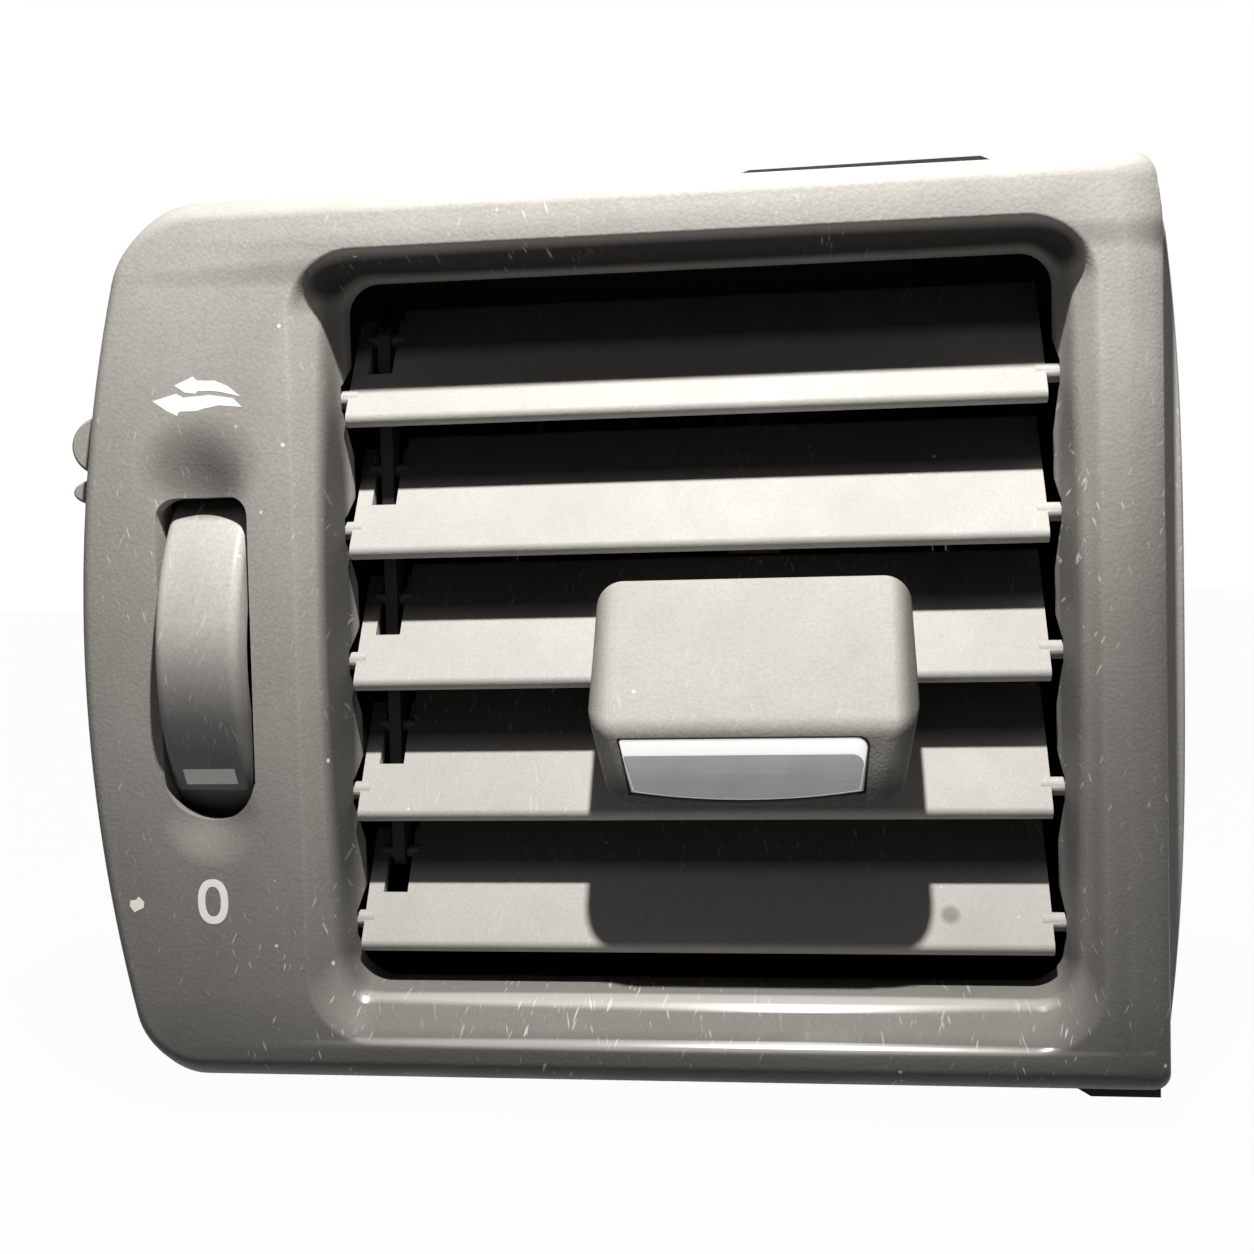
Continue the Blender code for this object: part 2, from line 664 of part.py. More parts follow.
def flapSlab(name, halfWidth, halfHeight, halfThickness, radius):
    outline = roundedBox(-halfWidth, halfWidth, -halfHeight, halfHeight, radius)
    return makeObject(name, [[(x, *onFlap(a, across)) for x, a in outline]
                             for across in (-halfThickness, halfThickness)])


def makeFlap():
    halfWidth, halfHeight = spigotHalfWidth - 2.6, spigotHalfHeight - 2.1
    flap = flapSlab("damper_flap", halfWidth, halfHeight, 1.1, 4.0)
    spine = halfWidth - 0.9
    add(flap, cylinder("spine", "x", flapDepth, wheelHeight, 2.2, -spine, spine, 18))
    add(flap, cylinder("shaft", "x", flapDepth, wheelHeight, shaftRadius, linkRight + 0.9,
                       spigotHalfWidth + wall + 0.8, 16))
    finish(flap, blackPlastic, (0, flapDepth, wheelHeight))
    seal = flapSlab("damper_seal", spigotHalfWidth - 0.5, spigotHalfHeight, 2.4, 5.5)
    cut(seal, flapSlab("inner", halfWidth + gap, halfHeight + gap, 4, 4.3))
    cut(seal, cylinder("hole", "x", flapDepth, wheelHeight, shaftRadius + turnGap,
                       -spigotHalfWidth - 6, spigotHalfWidth + 6, 16))
    finish(seal, foam, (0, flapDepth, wheelHeight))


# Housing

def ductRing(depth, halfWidth, bottom, top, radius):
    return [(x, depth, z) for x, z in roundedBox(-halfWidth, halfWidth, bottom, top, radius)]


def spigotRing(depth, outward, radius):
    return ductRing(depth, spigotHalfWidth + outward, wheelHeight - spigotHalfHeight - outward,
                    wheelHeight + spigotHalfHeight + outward, radius)


def makeHousing():
    outerHalf, low, high = boxHalfWidth + wall, boxBottom - wall, boxTop + wall
    housing = makeObject("duct_housing", [
        ductRing(9.6, outerHalf, low, high, 2.0), ductRing(boxRear, outerHalf, low, high, 2.0),
        spigotRing(spigotStart, wall, 7.0), spigotRing(spigotEnd, wall, 7.0)])
    flange = [flankRing(flankRings[5], depth, skin + 0.4) for depth in (9.6, rimDepth)]
    add(housing, makeObject("flange", flange))
    tabFront, tabRear = rimDepth + 0.4, rimDepth + 2.9
    tab = [(tabLeft, high - 1.2), (tabRight, high - 1.2), (tabRight, high + 6.4),
           (tabRight - 2, high + 7.3), (tabLeft + 3.7, high + 7.1), (tabLeft, high + 5.8)]
    add(housing, prism("top_tab", tab, "y", tabFront, tabRear))
    lug = [(lugLeft, low + 1), (lugLeft, low - 6), (lugLeft + 2, low - 7.2),
           (lugRight, low - 7.2), (lugRight, low + 1)]
    add(housing, prism("lower_lug", lug, "y", tabFront, tabRear))
    ribHalf = boxHalfWidth - 3.6
    for depth in (30.0, 50.0):
        add(housing, box("top_rib", -ribHalf, ribHalf, depth, depth + 1.4, high - 0.5, high + 1.8),
            box("low_rib", -ribHalf, ribHalf, depth, depth + 1.4, low - 1.8, low + 0.5),
            box("side_rib", outerHalf - 0.5, outerHalf + 1.8, depth, depth + 1.4,
                boxBottom + 4.2, boxTop - 4))
    add(housing, cylinder("axle", "x", wheelDepth, wheelHeight, axleRadius,
                          wheelX - wheelHalfWidth + 0.9, -outerHalf + 0.5, 20))
    add(housing, cylinder("axle_tip", "x", wheelDepth, wheelHeight, 1.7,
                          wheelX - wheelHalfWidth - 0.5, -outerHalf, 16))
    add(housing, cylinder("axle_foot", "x", wheelDepth, wheelHeight, 5.0,
                          wheelX + wheelHalfWidth + 0.1, -outerHalf + 0.5, 20))
    inner = [ductRing(8.0, boxHalfWidth, boxBottom, boxTop, 1.0),
             ductRing(boxRear - 1.6, boxHalfWidth, boxBottom, boxTop, 1.0),
             spigotRing(spigotStart - 1.6, 0, 5.5), spigotRing(spigotEnd + 1, 0, 5.5)]
    cut(housing, makeObject("duct", inner))
    room = wheelRadius - 1.7
    cut(housing, box("wheel_room", slotLeft - 0.7, -outerHalf - 0.6, 8, rimDepth + 1,
                     wheelHeight - room, wheelHeight + room))
    for x in (tabLeft + 6.7, tabRight - 6.7):
        cut(housing, cylinder("screw_hole", "y", x, high + 3, 1.7, tabFront - 1, tabRear + 1, 18))
    cut(housing, cylinder("lug_hole", "y", lugRight - 3.8, low - 4, 1.4, tabFront - 1,
                          tabRear + 1, 18))
    cut(housing, cylinder("shaft_hole", "x", flapDepth, wheelHeight, shaftRadius + turnGap,
                          -spigotHalfWidth - 6, spigotHalfWidth + 6, 18))
    finish(housing, blackPlastic)


def makeDuctSeal():
    front, rear, outward = spigotEnd - 8.0, spigotEnd - 0.6, wall + 4.3
    seal = makeObject("duct_seal", [spigotRing(front, outward, 11.0),
                                    spigotRing(rear, outward, 11.0)])
    cut(seal, makeObject("inner", [spigotRing(front - 2, wall + gap, 7.3),
                                   spigotRing(rear + 2, wall + gap, 7.3)]))
    finish(seal, foam)


makeBezel()
makeHousing()
makeDuctSeal()
for number in range(vaneCount):
    makeVane(number)
makeVaneTieBar()
makeVaneBearing("left_vane_bearing", -1)
makeVaneBearing("right_vane_bearing", 1)
makeKnob()
for number in range(rearCount):
    makeRearVane(number)
makeRearTieBar()
makeRearBearing("upper_vertical_vane_bearing", rearTop + 0.5, boxTop - gap)
makeRearBearing("lower_vertical_vane_bearing", boxBottom + gap, rearBottom - 0.5)
makeWheel()
makeLink()
makeCrank()
makeFlap()
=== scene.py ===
import json
import math

import bmesh
import bpy
from mathutils import Matrix, Vector


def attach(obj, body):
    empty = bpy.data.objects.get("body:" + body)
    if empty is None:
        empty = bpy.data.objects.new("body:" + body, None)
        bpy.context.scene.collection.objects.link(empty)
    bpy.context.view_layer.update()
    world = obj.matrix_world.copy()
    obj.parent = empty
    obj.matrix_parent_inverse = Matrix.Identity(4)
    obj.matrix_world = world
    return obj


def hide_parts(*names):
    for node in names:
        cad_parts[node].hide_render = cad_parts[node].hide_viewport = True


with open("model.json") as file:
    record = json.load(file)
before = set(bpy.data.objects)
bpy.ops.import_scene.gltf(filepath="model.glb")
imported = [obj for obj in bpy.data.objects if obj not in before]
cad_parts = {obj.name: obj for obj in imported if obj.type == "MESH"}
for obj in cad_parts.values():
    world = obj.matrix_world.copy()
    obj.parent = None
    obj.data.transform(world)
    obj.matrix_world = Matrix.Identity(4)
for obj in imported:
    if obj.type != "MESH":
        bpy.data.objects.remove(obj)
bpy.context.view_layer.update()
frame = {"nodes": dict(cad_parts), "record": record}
mm = 0.001

# Small tools for meshes, all in millimetres

weldDistance = 0.004
flatAngle = math.radians(0.5)


def link(obj):
    bpy.context.scene.collection.objects.link(obj)
    return obj


def skinRings(name, rings, closed=False):
    shape = bmesh.new()
    loops = [[shape.verts.new(Vector(point) * mm) for point in ring] for ring in rings]
    count = len(loops[0])
    following = loops[1:] + loops[:1] if closed else loops[1:]
    for first, second in zip(loops, following):
        for i in range(count):
            j = (i + 1) % count
            shape.faces.new((first[i], first[j], second[j], second[i]))
    if not closed:
        shape.faces.new(loops[0][::-1])
        shape.faces.new(loops[-1])
    bmesh.ops.recalc_face_normals(shape, faces=shape.faces)
    mesh = bpy.data.meshes.new(name)
    shape.to_mesh(mesh)
    shape.free()
    return link(bpy.data.objects.new(name, mesh))


def prism(name, outline, axis, start, end):
    def place(along, a, b):
        return (along, a, b) if axis == "x" else (a, along, b)
    return skinRings(name, [[place(s, a, b) for a, b in outline] for s in (start, end)])


def arc(a, b, radius, start, end, steps):
    turns = [math.radians(start + (end - start) * i / steps) for i in range(steps + 1)]
    return [(a + radius * math.cos(t), b + radius * math.sin(t)) for t in turns]


def circle(a, b, radius, steps):
    return arc(a, b, radius, 0, 360 - 360 / steps, steps - 1)


def roundedBox(left, right, bottom, top, radius, steps=14):
    outline = []
    for a, b, start in ((right - radius, bottom + radius, -90), (right - radius, top - radius, 0),
                        (left + radius, top - radius, 90), (left + radius, bottom + radius, 180)):
        outline += arc(a, b, radius, start, start + 90, steps)
    return outline


def bake(obj):
    graph = bpy.context.evaluated_depsgraph_get()
    mesh = bpy.data.meshes.new_from_object(obj.evaluated_get(graph))
    obj.modifiers.clear()
    obj.data = mesh
    return obj


def combine(target, tool, operation="DIFFERENCE"):
    modifier = target.modifiers.new(operation, "BOOLEAN")
    modifier.operation = operation
    modifier.solver = "EXACT"
    modifier.object = tool
    bake(target)
    bpy.data.objects.remove(tool, do_unlink=True)


def smoothed(obj, angle=30, joinFlat=False):
    shape = bmesh.new()
    shape.from_mesh(obj.data)
    bmesh.ops.remove_doubles(shape, verts=shape.verts, dist=weldDistance * mm)
    if joinFlat:
        bmesh.ops.dissolve_limit(shape, angle_limit=flatAngle, verts=shape.verts,
                                 edges=shape.edges)
    shape.to_mesh(obj.data)
    shape.free()
    obj.data.shade_smooth()
    obj.data.set_sharp_from_angle(angle=math.radians(angle))
    if joinFlat:
        weighted = obj.modifiers.new("flatFacesFirst", "WEIGHTED_NORMAL")
        weighted.keep_sharp = True
        bake(obj)
    return obj


def dress(obj, material, body, slot, *nodes):
    obj.data.materials.clear()
    obj.data.materials.append(material)
    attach(obj, body)
    if nodes:
        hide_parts(*nodes)
    return obj


# Shader groups and materials


def addNode(tree, kind, values=None, **settings):
    node = tree.nodes.new(kind)
    for key, value in settings.items():
        setattr(node, key, value)
    for key, value in (values or {}).items():
        node.inputs[key].default_value = value
    return node


def joinUp(tree, *pairs):
    for source, target in pairs:
        tree.links.new(source, target)


# A socket takes another socket, a number or a colour
def feed(tree, source, target):
    if isinstance(source, tuple):
        target.default_value = (*source, 1)
    elif isinstance(source, (int, float)):
        target.default_value = source
    else:
        tree.links.new(source, target)


def mathsOf(tree, operation, *sources):
    node = addNode(tree, "ShaderNodeMath", operation=operation)
    for target, source in zip(node.inputs, sources):
        feed(tree, source, target)
    return node.outputs[0]


def noiseOf(tree, place, values):
    node = addNode(tree, "ShaderNodeTexNoise", values)
    tree.links.new(place, node.inputs["Vector"])
    return node.outputs["Fac"]


# The values from start to end, spread from low to high
def spread(tree, source, start, end, low=0.0, high=1.0):
    node = addNode(tree, "ShaderNodeMapRange",
                   {"From Min": start, "From Max": end, "To Min": low, "To Max": high})
    tree.links.new(source, node.inputs["Value"])
    return node.outputs["Result"]


# Inputs 0, 6 and 7 are the factor and the colours, output 2 is their mix
def mixColour(tree, factor, first, second):
    node = addNode(tree, "ShaderNodeMix", data_type="RGBA")
    for source, target in ((factor, 0), (first, 6), (second, 7)):
        feed(tree, source, node.inputs[target])
    return node.outputs[2]


def newGroup(name, kind, inputs, outputs):
    tree = bpy.data.node_groups.new(name, kind)
    for label, socket, value in inputs:
        made = tree.interface.new_socket(label, in_out="INPUT", socket_type="NodeSocket" + socket)
        if value is not None:
            made.default_value = value
    for label, socket in outputs:
        tree.interface.new_socket(label, in_out="OUTPUT", socket_type="NodeSocket" + socket)
    return tree, tree.nodes.new("NodeGroupInput"), tree.nodes.new("NodeGroupOutput")


# Scales of noise are per metre
grainShape = {"scale": 2600.0, "detail": 2.0, "roughness": 0.6, "fineShare": 0.6,
              "mottle": {"Scale": 55.0, "Detail": 6.0, "Roughness": 0.65}}


def makeGrainGroup():
    tree, given, result = newGroup(
        "mouldGrain", "ShaderNodeTree",
        [("Vector", "Vector", None), ("Scale", "Float", grainShape["scale"])],
        [("Height", "Float"), ("Mottle", "Float")])
    fine = addNode(tree, "ShaderNodeTexNoise", {"Detail": grainShape["detail"],
                                                "Roughness": grainShape["roughness"]})
    cells = addNode(tree, "ShaderNodeTexVoronoi", {"Randomness": 1.0}, feature="SMOOTH_F1")
    for texture in (fine, cells):
        joinUp(tree, (given.outputs["Vector"], texture.inputs["Vector"]),
               (given.outputs["Scale"], texture.inputs["Scale"]))
    height = mathsOf(tree, "MULTIPLY_ADD", fine.outputs["Fac"], grainShape["fineShare"],
                     cells.outputs["Distance"])
    mottle = noiseOf(tree, given.outputs["Vector"], grainShape["mottle"])
    joinUp(tree, (height, result.inputs["Height"]), (mottle, result.inputs["Mottle"]))
    return tree


# Scuffs run in two directions, each with its turn and how closely they lie across it.
# Ranges are values of the texture, and chance is how rare a speck of lint is.
wearShape = {"turns": ((1.2, 2100.0), (-1.3, 2500.0)), "along": 380.0, "through": 160.0,
             "scuffRange": (0.69, 0.76), "patch": {"Scale": 38.0, "Detail": 3.0},
             "patchRange": (0.42, 0.66), "dotScale": 330.0, "dotRange": (0.11, 0.06),
             "chance": 0.92, "smear": {"Scale": 90.0, "Detail": 5.0, "Distortion": 1.2}}


def makeWearGroup():
    tree, given, result = newGroup(
        "handlingWear", "ShaderNodeTree",
        [("Vector", "Vector", None), ("Amount", "Float", 0.5),
         ("Specks", "Float", 0.5)],
        [("Scratch", "Float"), ("Speck", "Float"),
         ("Smear", "Float")])
    place = given.outputs["Vector"]
    scuffs = []
    for angle, across in wearShape["turns"]:
        turn = addNode(tree, "ShaderNodeMapping", {"Rotation": (0, angle, 0)})
        stretch = addNode(tree, "ShaderNodeMapping",
                          {"Scale": (wearShape["along"], wearShape["through"], across)})
        joinUp(tree, (place, turn.inputs["Vector"]),
               (turn.outputs["Vector"], stretch.inputs["Vector"]))
        streak = noiseOf(tree, stretch.outputs["Vector"], {"Scale": 1.0, "Detail": 1.0})
        scuffs.append(spread(tree, streak, *wearShape["scuffRange"]))
    patchy = spread(tree, noiseOf(tree, place, wearShape["patch"]), *wearShape["patchRange"])
    scratch = mathsOf(tree, "MULTIPLY", mathsOf(tree, "MAXIMUM", *scuffs), patchy)
    scratch = mathsOf(tree, "MULTIPLY", scratch, given.outputs["Amount"])
    dots = addNode(tree, "ShaderNodeTexVoronoi", {"Scale": wearShape["dotScale"]})
    chance = addNode(tree, "ShaderNodeSeparateColor")
    joinUp(tree, (place, dots.inputs["Vector"]), (dots.outputs["Color"], chance.inputs["Color"]))
    small = spread(tree, dots.outputs["Distance"], *wearShape["dotRange"])
    rare = mathsOf(tree, "GREATER_THAN", chance.outputs["Red"], wearShape["chance"])
    speck = mathsOf(tree, "MULTIPLY", mathsOf(tree, "MULTIPLY", small, rare),
                    given.outputs["Specks"])
    joinUp(tree, (scratch, result.inputs["Scratch"]), (speck, result.inputs["Speck"]),
           (noiseOf(tree, place, wearShape["smear"]), result.inputs["Smear"]))
    return tree


grainGroup = makeGrainGroup()
wearGroup = makeWearGroup()


def newMaterial(name):
    material = bpy.data.materials.new(name)
    material.use_nodes = True
    tree = material.node_tree
    place = addNode(tree, "ShaderNodeTexCoord").outputs["Object"]
    return material, tree, tree.nodes["Principled BSDF"], place


# A bump is its strength and its depth in millimetres
def finishSurface(tree, shader, colour, roughness, height=None, bump=None):
    joinUp(tree, (colour, shader.inputs["Base Color"]), (roughness, shader.inputs["Roughness"]))
    if bump:
        strength, depth = bump
        node = addNode(tree, "ShaderNodeBump", {"Strength": strength, "Distance": depth * mm})
        joinUp(tree, (height, node.inputs["Height"]),
               (node.outputs["Normal"], shader.inputs["Normal"]))


# What the plastics share. Noise is the range of values that noise mostly gives.
plastic = {"noise": (0.3, 0.7), "pores": (0.35, 1.0), "spotSoftness": 0.6, "coatRoughness": 0.2}


# A soft ellipsoid round a place on the piece, in millimetres
def localMask(tree, place, centre, reach):
    shift = addNode(tree, "ShaderNodeVectorMath", {1: Vector(centre) * mm}, operation="SUBTRACT")
    divide = addNode(tree, "ShaderNodeVectorMath", {1: Vector(reach) * mm}, operation="DIVIDE")
    length = addNode(tree, "ShaderNodeVectorMath", operation="LENGTH")
    joinUp(tree, (place, shift.inputs[0]), (shift.outputs[0], divide.inputs[0]),
           (divide.outputs[0], length.inputs[0]))
    return spread(tree, length.outputs["Value"], 1.0, plastic["spotSoftness"])


def mouldedPlastic(name, look):
    material, tree, shader, place = newMaterial(name)
    shader.inputs["Specular IOR Level"].default_value = look["shine"]
    grain = addNode(tree, "ShaderNodeGroup", {"Scale": look["grainScale"]}, node_tree=grainGroup)
    wear = addNode(tree, "ShaderNodeGroup", {"Amount": look["scratches"],
                                             "Specks": look["specks"]}, node_tree=wearGroup)
    joinUp(tree, (place, grain.inputs["Vector"]), (place, wear.inputs["Vector"]))
    tone = spread(tree, grain.outputs["Mottle"], *plastic["noise"])
    colour = mixColour(tree, tone, look["dark"], look["light"])
    pores = spread(tree, grain.outputs["Height"], *plastic["pores"], 0.0, look["pores"])
    colour = mixColour(tree, pores, colour, look["poreColour"])
    # Spots mix local colours in: mostly painted shade and painted highlights, and one worn patch
    for centre, reach, shade, strength in look["spots"]:
        mask = mathsOf(tree, "MULTIPLY", localMask(tree, place, centre, reach), strength)
        colour = mixColour(tree, mask, colour, shade)
    # Painted shade: a ramp along one axis darkens the colour where the light falls off
    if look["paintedShadeRamp"]:
        axis, start, end, shade, strength = look["paintedShadeRamp"]
        parts = addNode(tree, "ShaderNodeSeparateXYZ")
        tree.links.new(place, parts.inputs[0])
        shadeRampMask = spread(tree, parts.outputs[axis], start * mm, end * mm, 0.0, strength)
        colour = mixColour(tree, shadeRampMask, colour, shade)
    colour = mixColour(tree, wear.outputs["Scratch"], colour, look["scratchColour"])
    colour = mixColour(tree, wear.outputs["Speck"], colour, look["lint"])
    roughness = spread(tree, wear.outputs["Smear"], *plastic["noise"], *look["roughness"])
    finishSurface(tree, shader, colour, roughness, grain.outputs["Height"], look["bump"])
    masks = [localMask(tree, place, *spot) for spot in look["polished"]]
    if masks:
        mask = masks[0]
        for other in masks[1:]:
            mask = mathsOf(tree, "MAXIMUM", mask, other)
        shader.inputs["Coat Roughness"].default_value = plastic["coatRoughness"]
        tree.links.new(mask, shader.inputs["Coat Weight"])
    return material


# Spots are (centre, reach, colour, strength), polished places (centre, reach), in millimetres.
# A painted shade ramp darkens the colour along an axis, from none at start to its strength at end:
# (axis, start, end, colour, strength).
faceLook = {
    "dark": (0.34, 0.33, 0.31), "light": (0.41, 0.4, 0.378), "pores": 0.35,
    "poreColour": (0.26, 0.252, 0.238), "grainScale": 2400.0, "scratches": 0.6, "specks": 0.7,
    "scratchColour": (0.7, 0.68, 0.65), "lint": (0.85, 0.84, 0.8), "roughness": (0.5, 0.62),
    "bump": (0.5, 0.06), "shine": 0.12,
    "spots": (((15.5, 0.0, -47.8), (7.0, 3.0, 1.6), (0.5, 0.49, 0.46), 0.45),
              # Painted shade in recesses: the opening's inner side walls, the soffit above the
              # vanes, the scoop above the slot and the slot's inside
              ((-43.6, 6.0, 0.0), (3.2, 5.4, 53.0), (0.04, 0.039, 0.036), 0.88),
              ((44.4, 6.0, 0.0), (2.8, 5.2, 53.0), (0.05, 0.049, 0.045), 0.65),
              ((0.0, 4.7, 45.9), (110.0, 6.2, 3.7), (0.03, 0.029, 0.027), 0.95),
              ((-59.4, 0.8, 23.4), (8.4, 4.0, 6.6), (0.1, 0.098, 0.09), 0.55),
              ((-59.4, 10.0, -0.85), (8.0, 8.6, 27.0), (0.03, 0.029, 0.027), 0.95),
              # Painted shade: the face is darker towards the bottom and on the lower right
              ((0.0, 0.0, -62.0), (140.0, 2.6, 22.0), (0.08, 0.078, 0.07), 0.6),
              ((58.0, 0.0, -32.0), (22.0, 5.0, 62.0), (0.08, 0.078, 0.07), 0.4),
              # Painted highlights: pale lines along the sill's inner edge and the outer lip of the
              # opening
              ((0.0, 4.6, -43.8), (58.0, 1.6, 1.3), (0.95, 0.93, 0.89), 0.9),
              ((0.0, 0.4, -48.2), (58.0, 0.9, 0.8), (0.9, 0.88, 0.84), 0.6)),
    "polished": (((59.5, 8.0, 0.0), (7.0, 9.0, 120.0)), ((0.0, 4.5, -43.8), (58.0, 1.8, 1.5)),
                 ((0.0, 0.4, -48.3), (58.0, 1.0, 0.9))),
    # Painted shade: the face darkens towards the bottom, away from the lamp
    "paintedShadeRamp": ("Z", 35.0, -58.0, (0.06, 0.059, 0.055), 0.7)}
vaneLook = {
    "dark": (0.385, 0.377, 0.358), "light": (0.455, 0.445, 0.424), "pores": 0.3,
    "poreColour": (0.3, 0.292, 0.277), "grainScale": 2900.0, "scratches": 0.3, "specks": 0.5,
    "scratchColour": (0.6, 0.59, 0.56), "lint": (0.8, 0.79, 0.75), "roughness": (0.45, 0.6),
    "bump": (0.4, 0.05), "shine": 0.12,
    "spots": (((31.0, 8.8, -34.2), (1.6, 3.0, 1.4), (0.1, 0.097, 0.09), 0.6),
              ((34.0, 9.0, -16.5), (6.0, 4.0, 2.4), (0.44, 0.43, 0.41), 0.35)),
    # Painted shade: the vanes darken towards their tails, where the vane above shades them
    "polished": (), "paintedShadeRamp": ("Y", 12.6, 14.0, (0.05, 0.049, 0.046), 0.93)}
# Painted shade: the knob's lower front and its rounded ends are darkened in colour
knobLook = dict(faceLook, scratches=0.2, specks=0.45, roughness=(0.54, 0.6), polished=(),
                paintedShadeRamp=("Z", -13.5, -17.0, (0.05, 0.049, 0.045), 0.8),
                spots=(((28.6, 0.0, -12.0), (4.6, 60.0, 60.0), (0.08, 0.078, 0.07), 0.8),
                       ((-13.4, 0.0, -12.0), (4.2, 60.0, 60.0), (0.08, 0.078, 0.07), 0.45)))
# Painted shade: the wheel darkens towards its bottom, and a painted shadow of the slot's top edge
# lies across its top
wheelLook = dict(faceLook, dark=(0.4, 0.39, 0.37), light=(0.5, 0.49, 0.47), scratches=0.5,
                 roughness=(0.3, 0.44), bump=(0.2, 0.06), shine=0.3, polished=(),
                 paintedShadeRamp=("Z", 4.0, -8.5, (0.05, 0.049, 0.045), 0.8),
                 spots=(((-59.4, 4.5, 20.4), (16.0, 16.0, 4.2), (0.03, 0.029, 0.027), 0.95),))
blackLook = dict(faceLook, dark=(0.018, 0.018, 0.019), light=(0.028, 0.028, 0.029), pores=0.2,
                 poreColour=(0.014, 0.014, 0.014), scratches=0.12, specks=0.12,
                 scratchColour=(0.12, 0.12, 0.12), lint=(0.3, 0.3, 0.29), spots=(),
                 polished=(), paintedShadeRamp=())
slideLook = dict(blackLook, dark=(0.05, 0.05, 0.05), light=(0.07, 0.07, 0.07),
                 roughness=(0.3, 0.42))

facePlastic = mouldedPlastic("grainedBezelPlastic", faceLook)
vanePlastic = mouldedPlastic("ventVanePlastic", vaneLook)
knobPlastic = mouldedPlastic("knobPlastic", knobLook)
# The wheel's plastic carries real scratches and painted shade
wheelPlastic = mouldedPlastic("wornWheelPlasticWithPaintedShade", wheelLook)
blackPlastic = mouldedPlastic("blackDuctPlastic", blackLook)
slidePlastic = mouldedPlastic("slipperyPlastic", slideLook)

trimLook = {"dark": (0.25, 0.246, 0.238), "light": (0.47, 0.462, 0.45), "roughness": (0.4, 0.55),
            "metal": 0.8, "stretch": (55.0, 2600.0, 2600.0), "lineShare": 0.6,
            "cloud": {"Scale": 260.0, "Detail": 5.0}, "cloudShare": 0.45, "bump": (0.3, 0.01)}
# Painted highlight: a paler copy of the trim metal for the strip's edge faces
highlightEdgeLook = dict(trimLook, dark=(0.86, 0.855, 0.84), light=(0.95, 0.945, 0.93), metal=0.9)
springLook = dict(trimLook, dark=(0.4, 0.4, 0.4), light=(0.6, 0.6, 0.6))


def brushedMetal(name, look):
    material, tree, shader, place = newMaterial(name)
    shader.inputs["Metallic"].default_value = look["metal"]
    stretch = addNode(tree, "ShaderNodeMapping", {"Scale": look["stretch"]})
    tree.links.new(place, stretch.inputs["Vector"])
    lines = noiseOf(tree, stretch.outputs["Vector"], {"Scale": 1.0, "Detail": 4.0,
                                                      "Roughness": 0.7})
    cloudy = mathsOf(tree, "MULTIPLY", noiseOf(tree, place, look["cloud"]), look["cloudShare"])
    tone = mathsOf(tree, "MULTIPLY_ADD", lines, look["lineShare"], cloudy)
    finishSurface(tree, shader, mixColour(tree, tone, look["dark"], look["light"]),
                  spread(tree, lines, 0.0, 1.0, *look["roughness"]), lines, look["bump"])
    return material


brushedTrim = brushedMetal("brushedTrimMetal", trimLook)
paintedHighlightEdge = brushedMetal("paintedHighlightTrimEdge", highlightEdgeLook)
springSteel = brushedMetal("springSteel", springLook)

foamLook = {"dark": (0.015, 0.015, 0.016), "light": (0.05, 0.05, 0.052), "cells": 1400.0,
            "roughness": (0.85, 1.0), "bump": (0.8, 0.15)}
inkLook = {"dark": (0.82, 0.81, 0.78), "light": (0.95, 0.94, 0.91), "roughness": (0.45, 0.7),
           "worn": {"Scale": 900.0, "Detail": 4.0}}


def foamMaterial(name, look):
    material, tree, shader, place = newMaterial(name)
    cells = addNode(tree, "ShaderNodeTexVoronoi", {"Scale": look["cells"]})
    tree.links.new(place, cells.inputs["Vector"])
    distance = cells.outputs["Distance"]
    finishSurface(tree, shader, mixColour(tree, distance, look["dark"], look["light"]),
                  spread(tree, distance, 0.0, 1.0, *look["roughness"]), distance, look["bump"])
    return material


def inkMaterial(name, look):
    material, tree, shader, place = newMaterial(name)
    worn = noiseOf(tree, place, look["worn"])
    finishSurface(tree, shader, mixColour(tree, worn, look["dark"], look["light"]),
                  spread(tree, worn, 0.0, 1.0, *look["roughness"]))
    return material


foam = foamMaterial("closedCellFoam", foamLook)
whiteInk = inkMaterial("whitePrintingInk", inkLook)
print("materials made")

# Bezel: the same outline as the solid, with finer rounding

# Boxes are (left, right, bottom, top). Bumps are (height, half height), with rows of (depth,
# how far it is shrunk). Rows of the hollow are (depth, depth whose outline it takes, inset).
# The bezel is cut to fit the wheel and the vanes, so their sizes stand here too.
bezel = {"left": -75.6, "right": 52.2, "top": 54.0, "bottom": -51.8, "bow": 198.0,
         "upperLeft": 8.5, "lowerLeft": 6.5, "rightCorners": 2.0, "shelf": 2.3,
         "shelfMiddle": 1.5, "shelfReach": 50.0, "shelfStart": 7.0, "shelfRound": 0.25,
         "leanStart": 47.5, "rim": 12.0, "edge": 1.5, "flankDepths": (2.2, 2.9, 3.2, 4.5, 6.0, 6.9),
         "hollow": ((2.2, 1.6, 3.2), (3.4, 3.0, 2.2), (7.0, 7.0, 2.2), (13.0, 7.0, 2.2)),
         "patch": (-69.5, -50.8, -32.0, 30.5), "patchCorner": 4.0, "patchDepth": (1.0, 5.2),
         "bumps": ((26.3, 3.9), (20.5, 1.9)), "bumpReach": 4.6, "bumpInset": 2.0,
         "relief": 0.6, "tab": (3.3, 39.2, 50.0, 58.0), "lug": (45.0, 60.4, -57.8, -48.4),
         "bumpRows": ((4.5, 0.4), (4.7, 0.15), (5.0, 0.0), (10.0, 0.0), (10.5, 0.4))}
opening = {"halfWidth": 47.5, "halfHeight": 48.1, "collar": 1.8, "depth": 12.5,
           "notchStart": 8.6, "notchHalf": 1.5, "notchRise": 5.0, "notchFall": 8.4,
           "notchReach": 49.5}
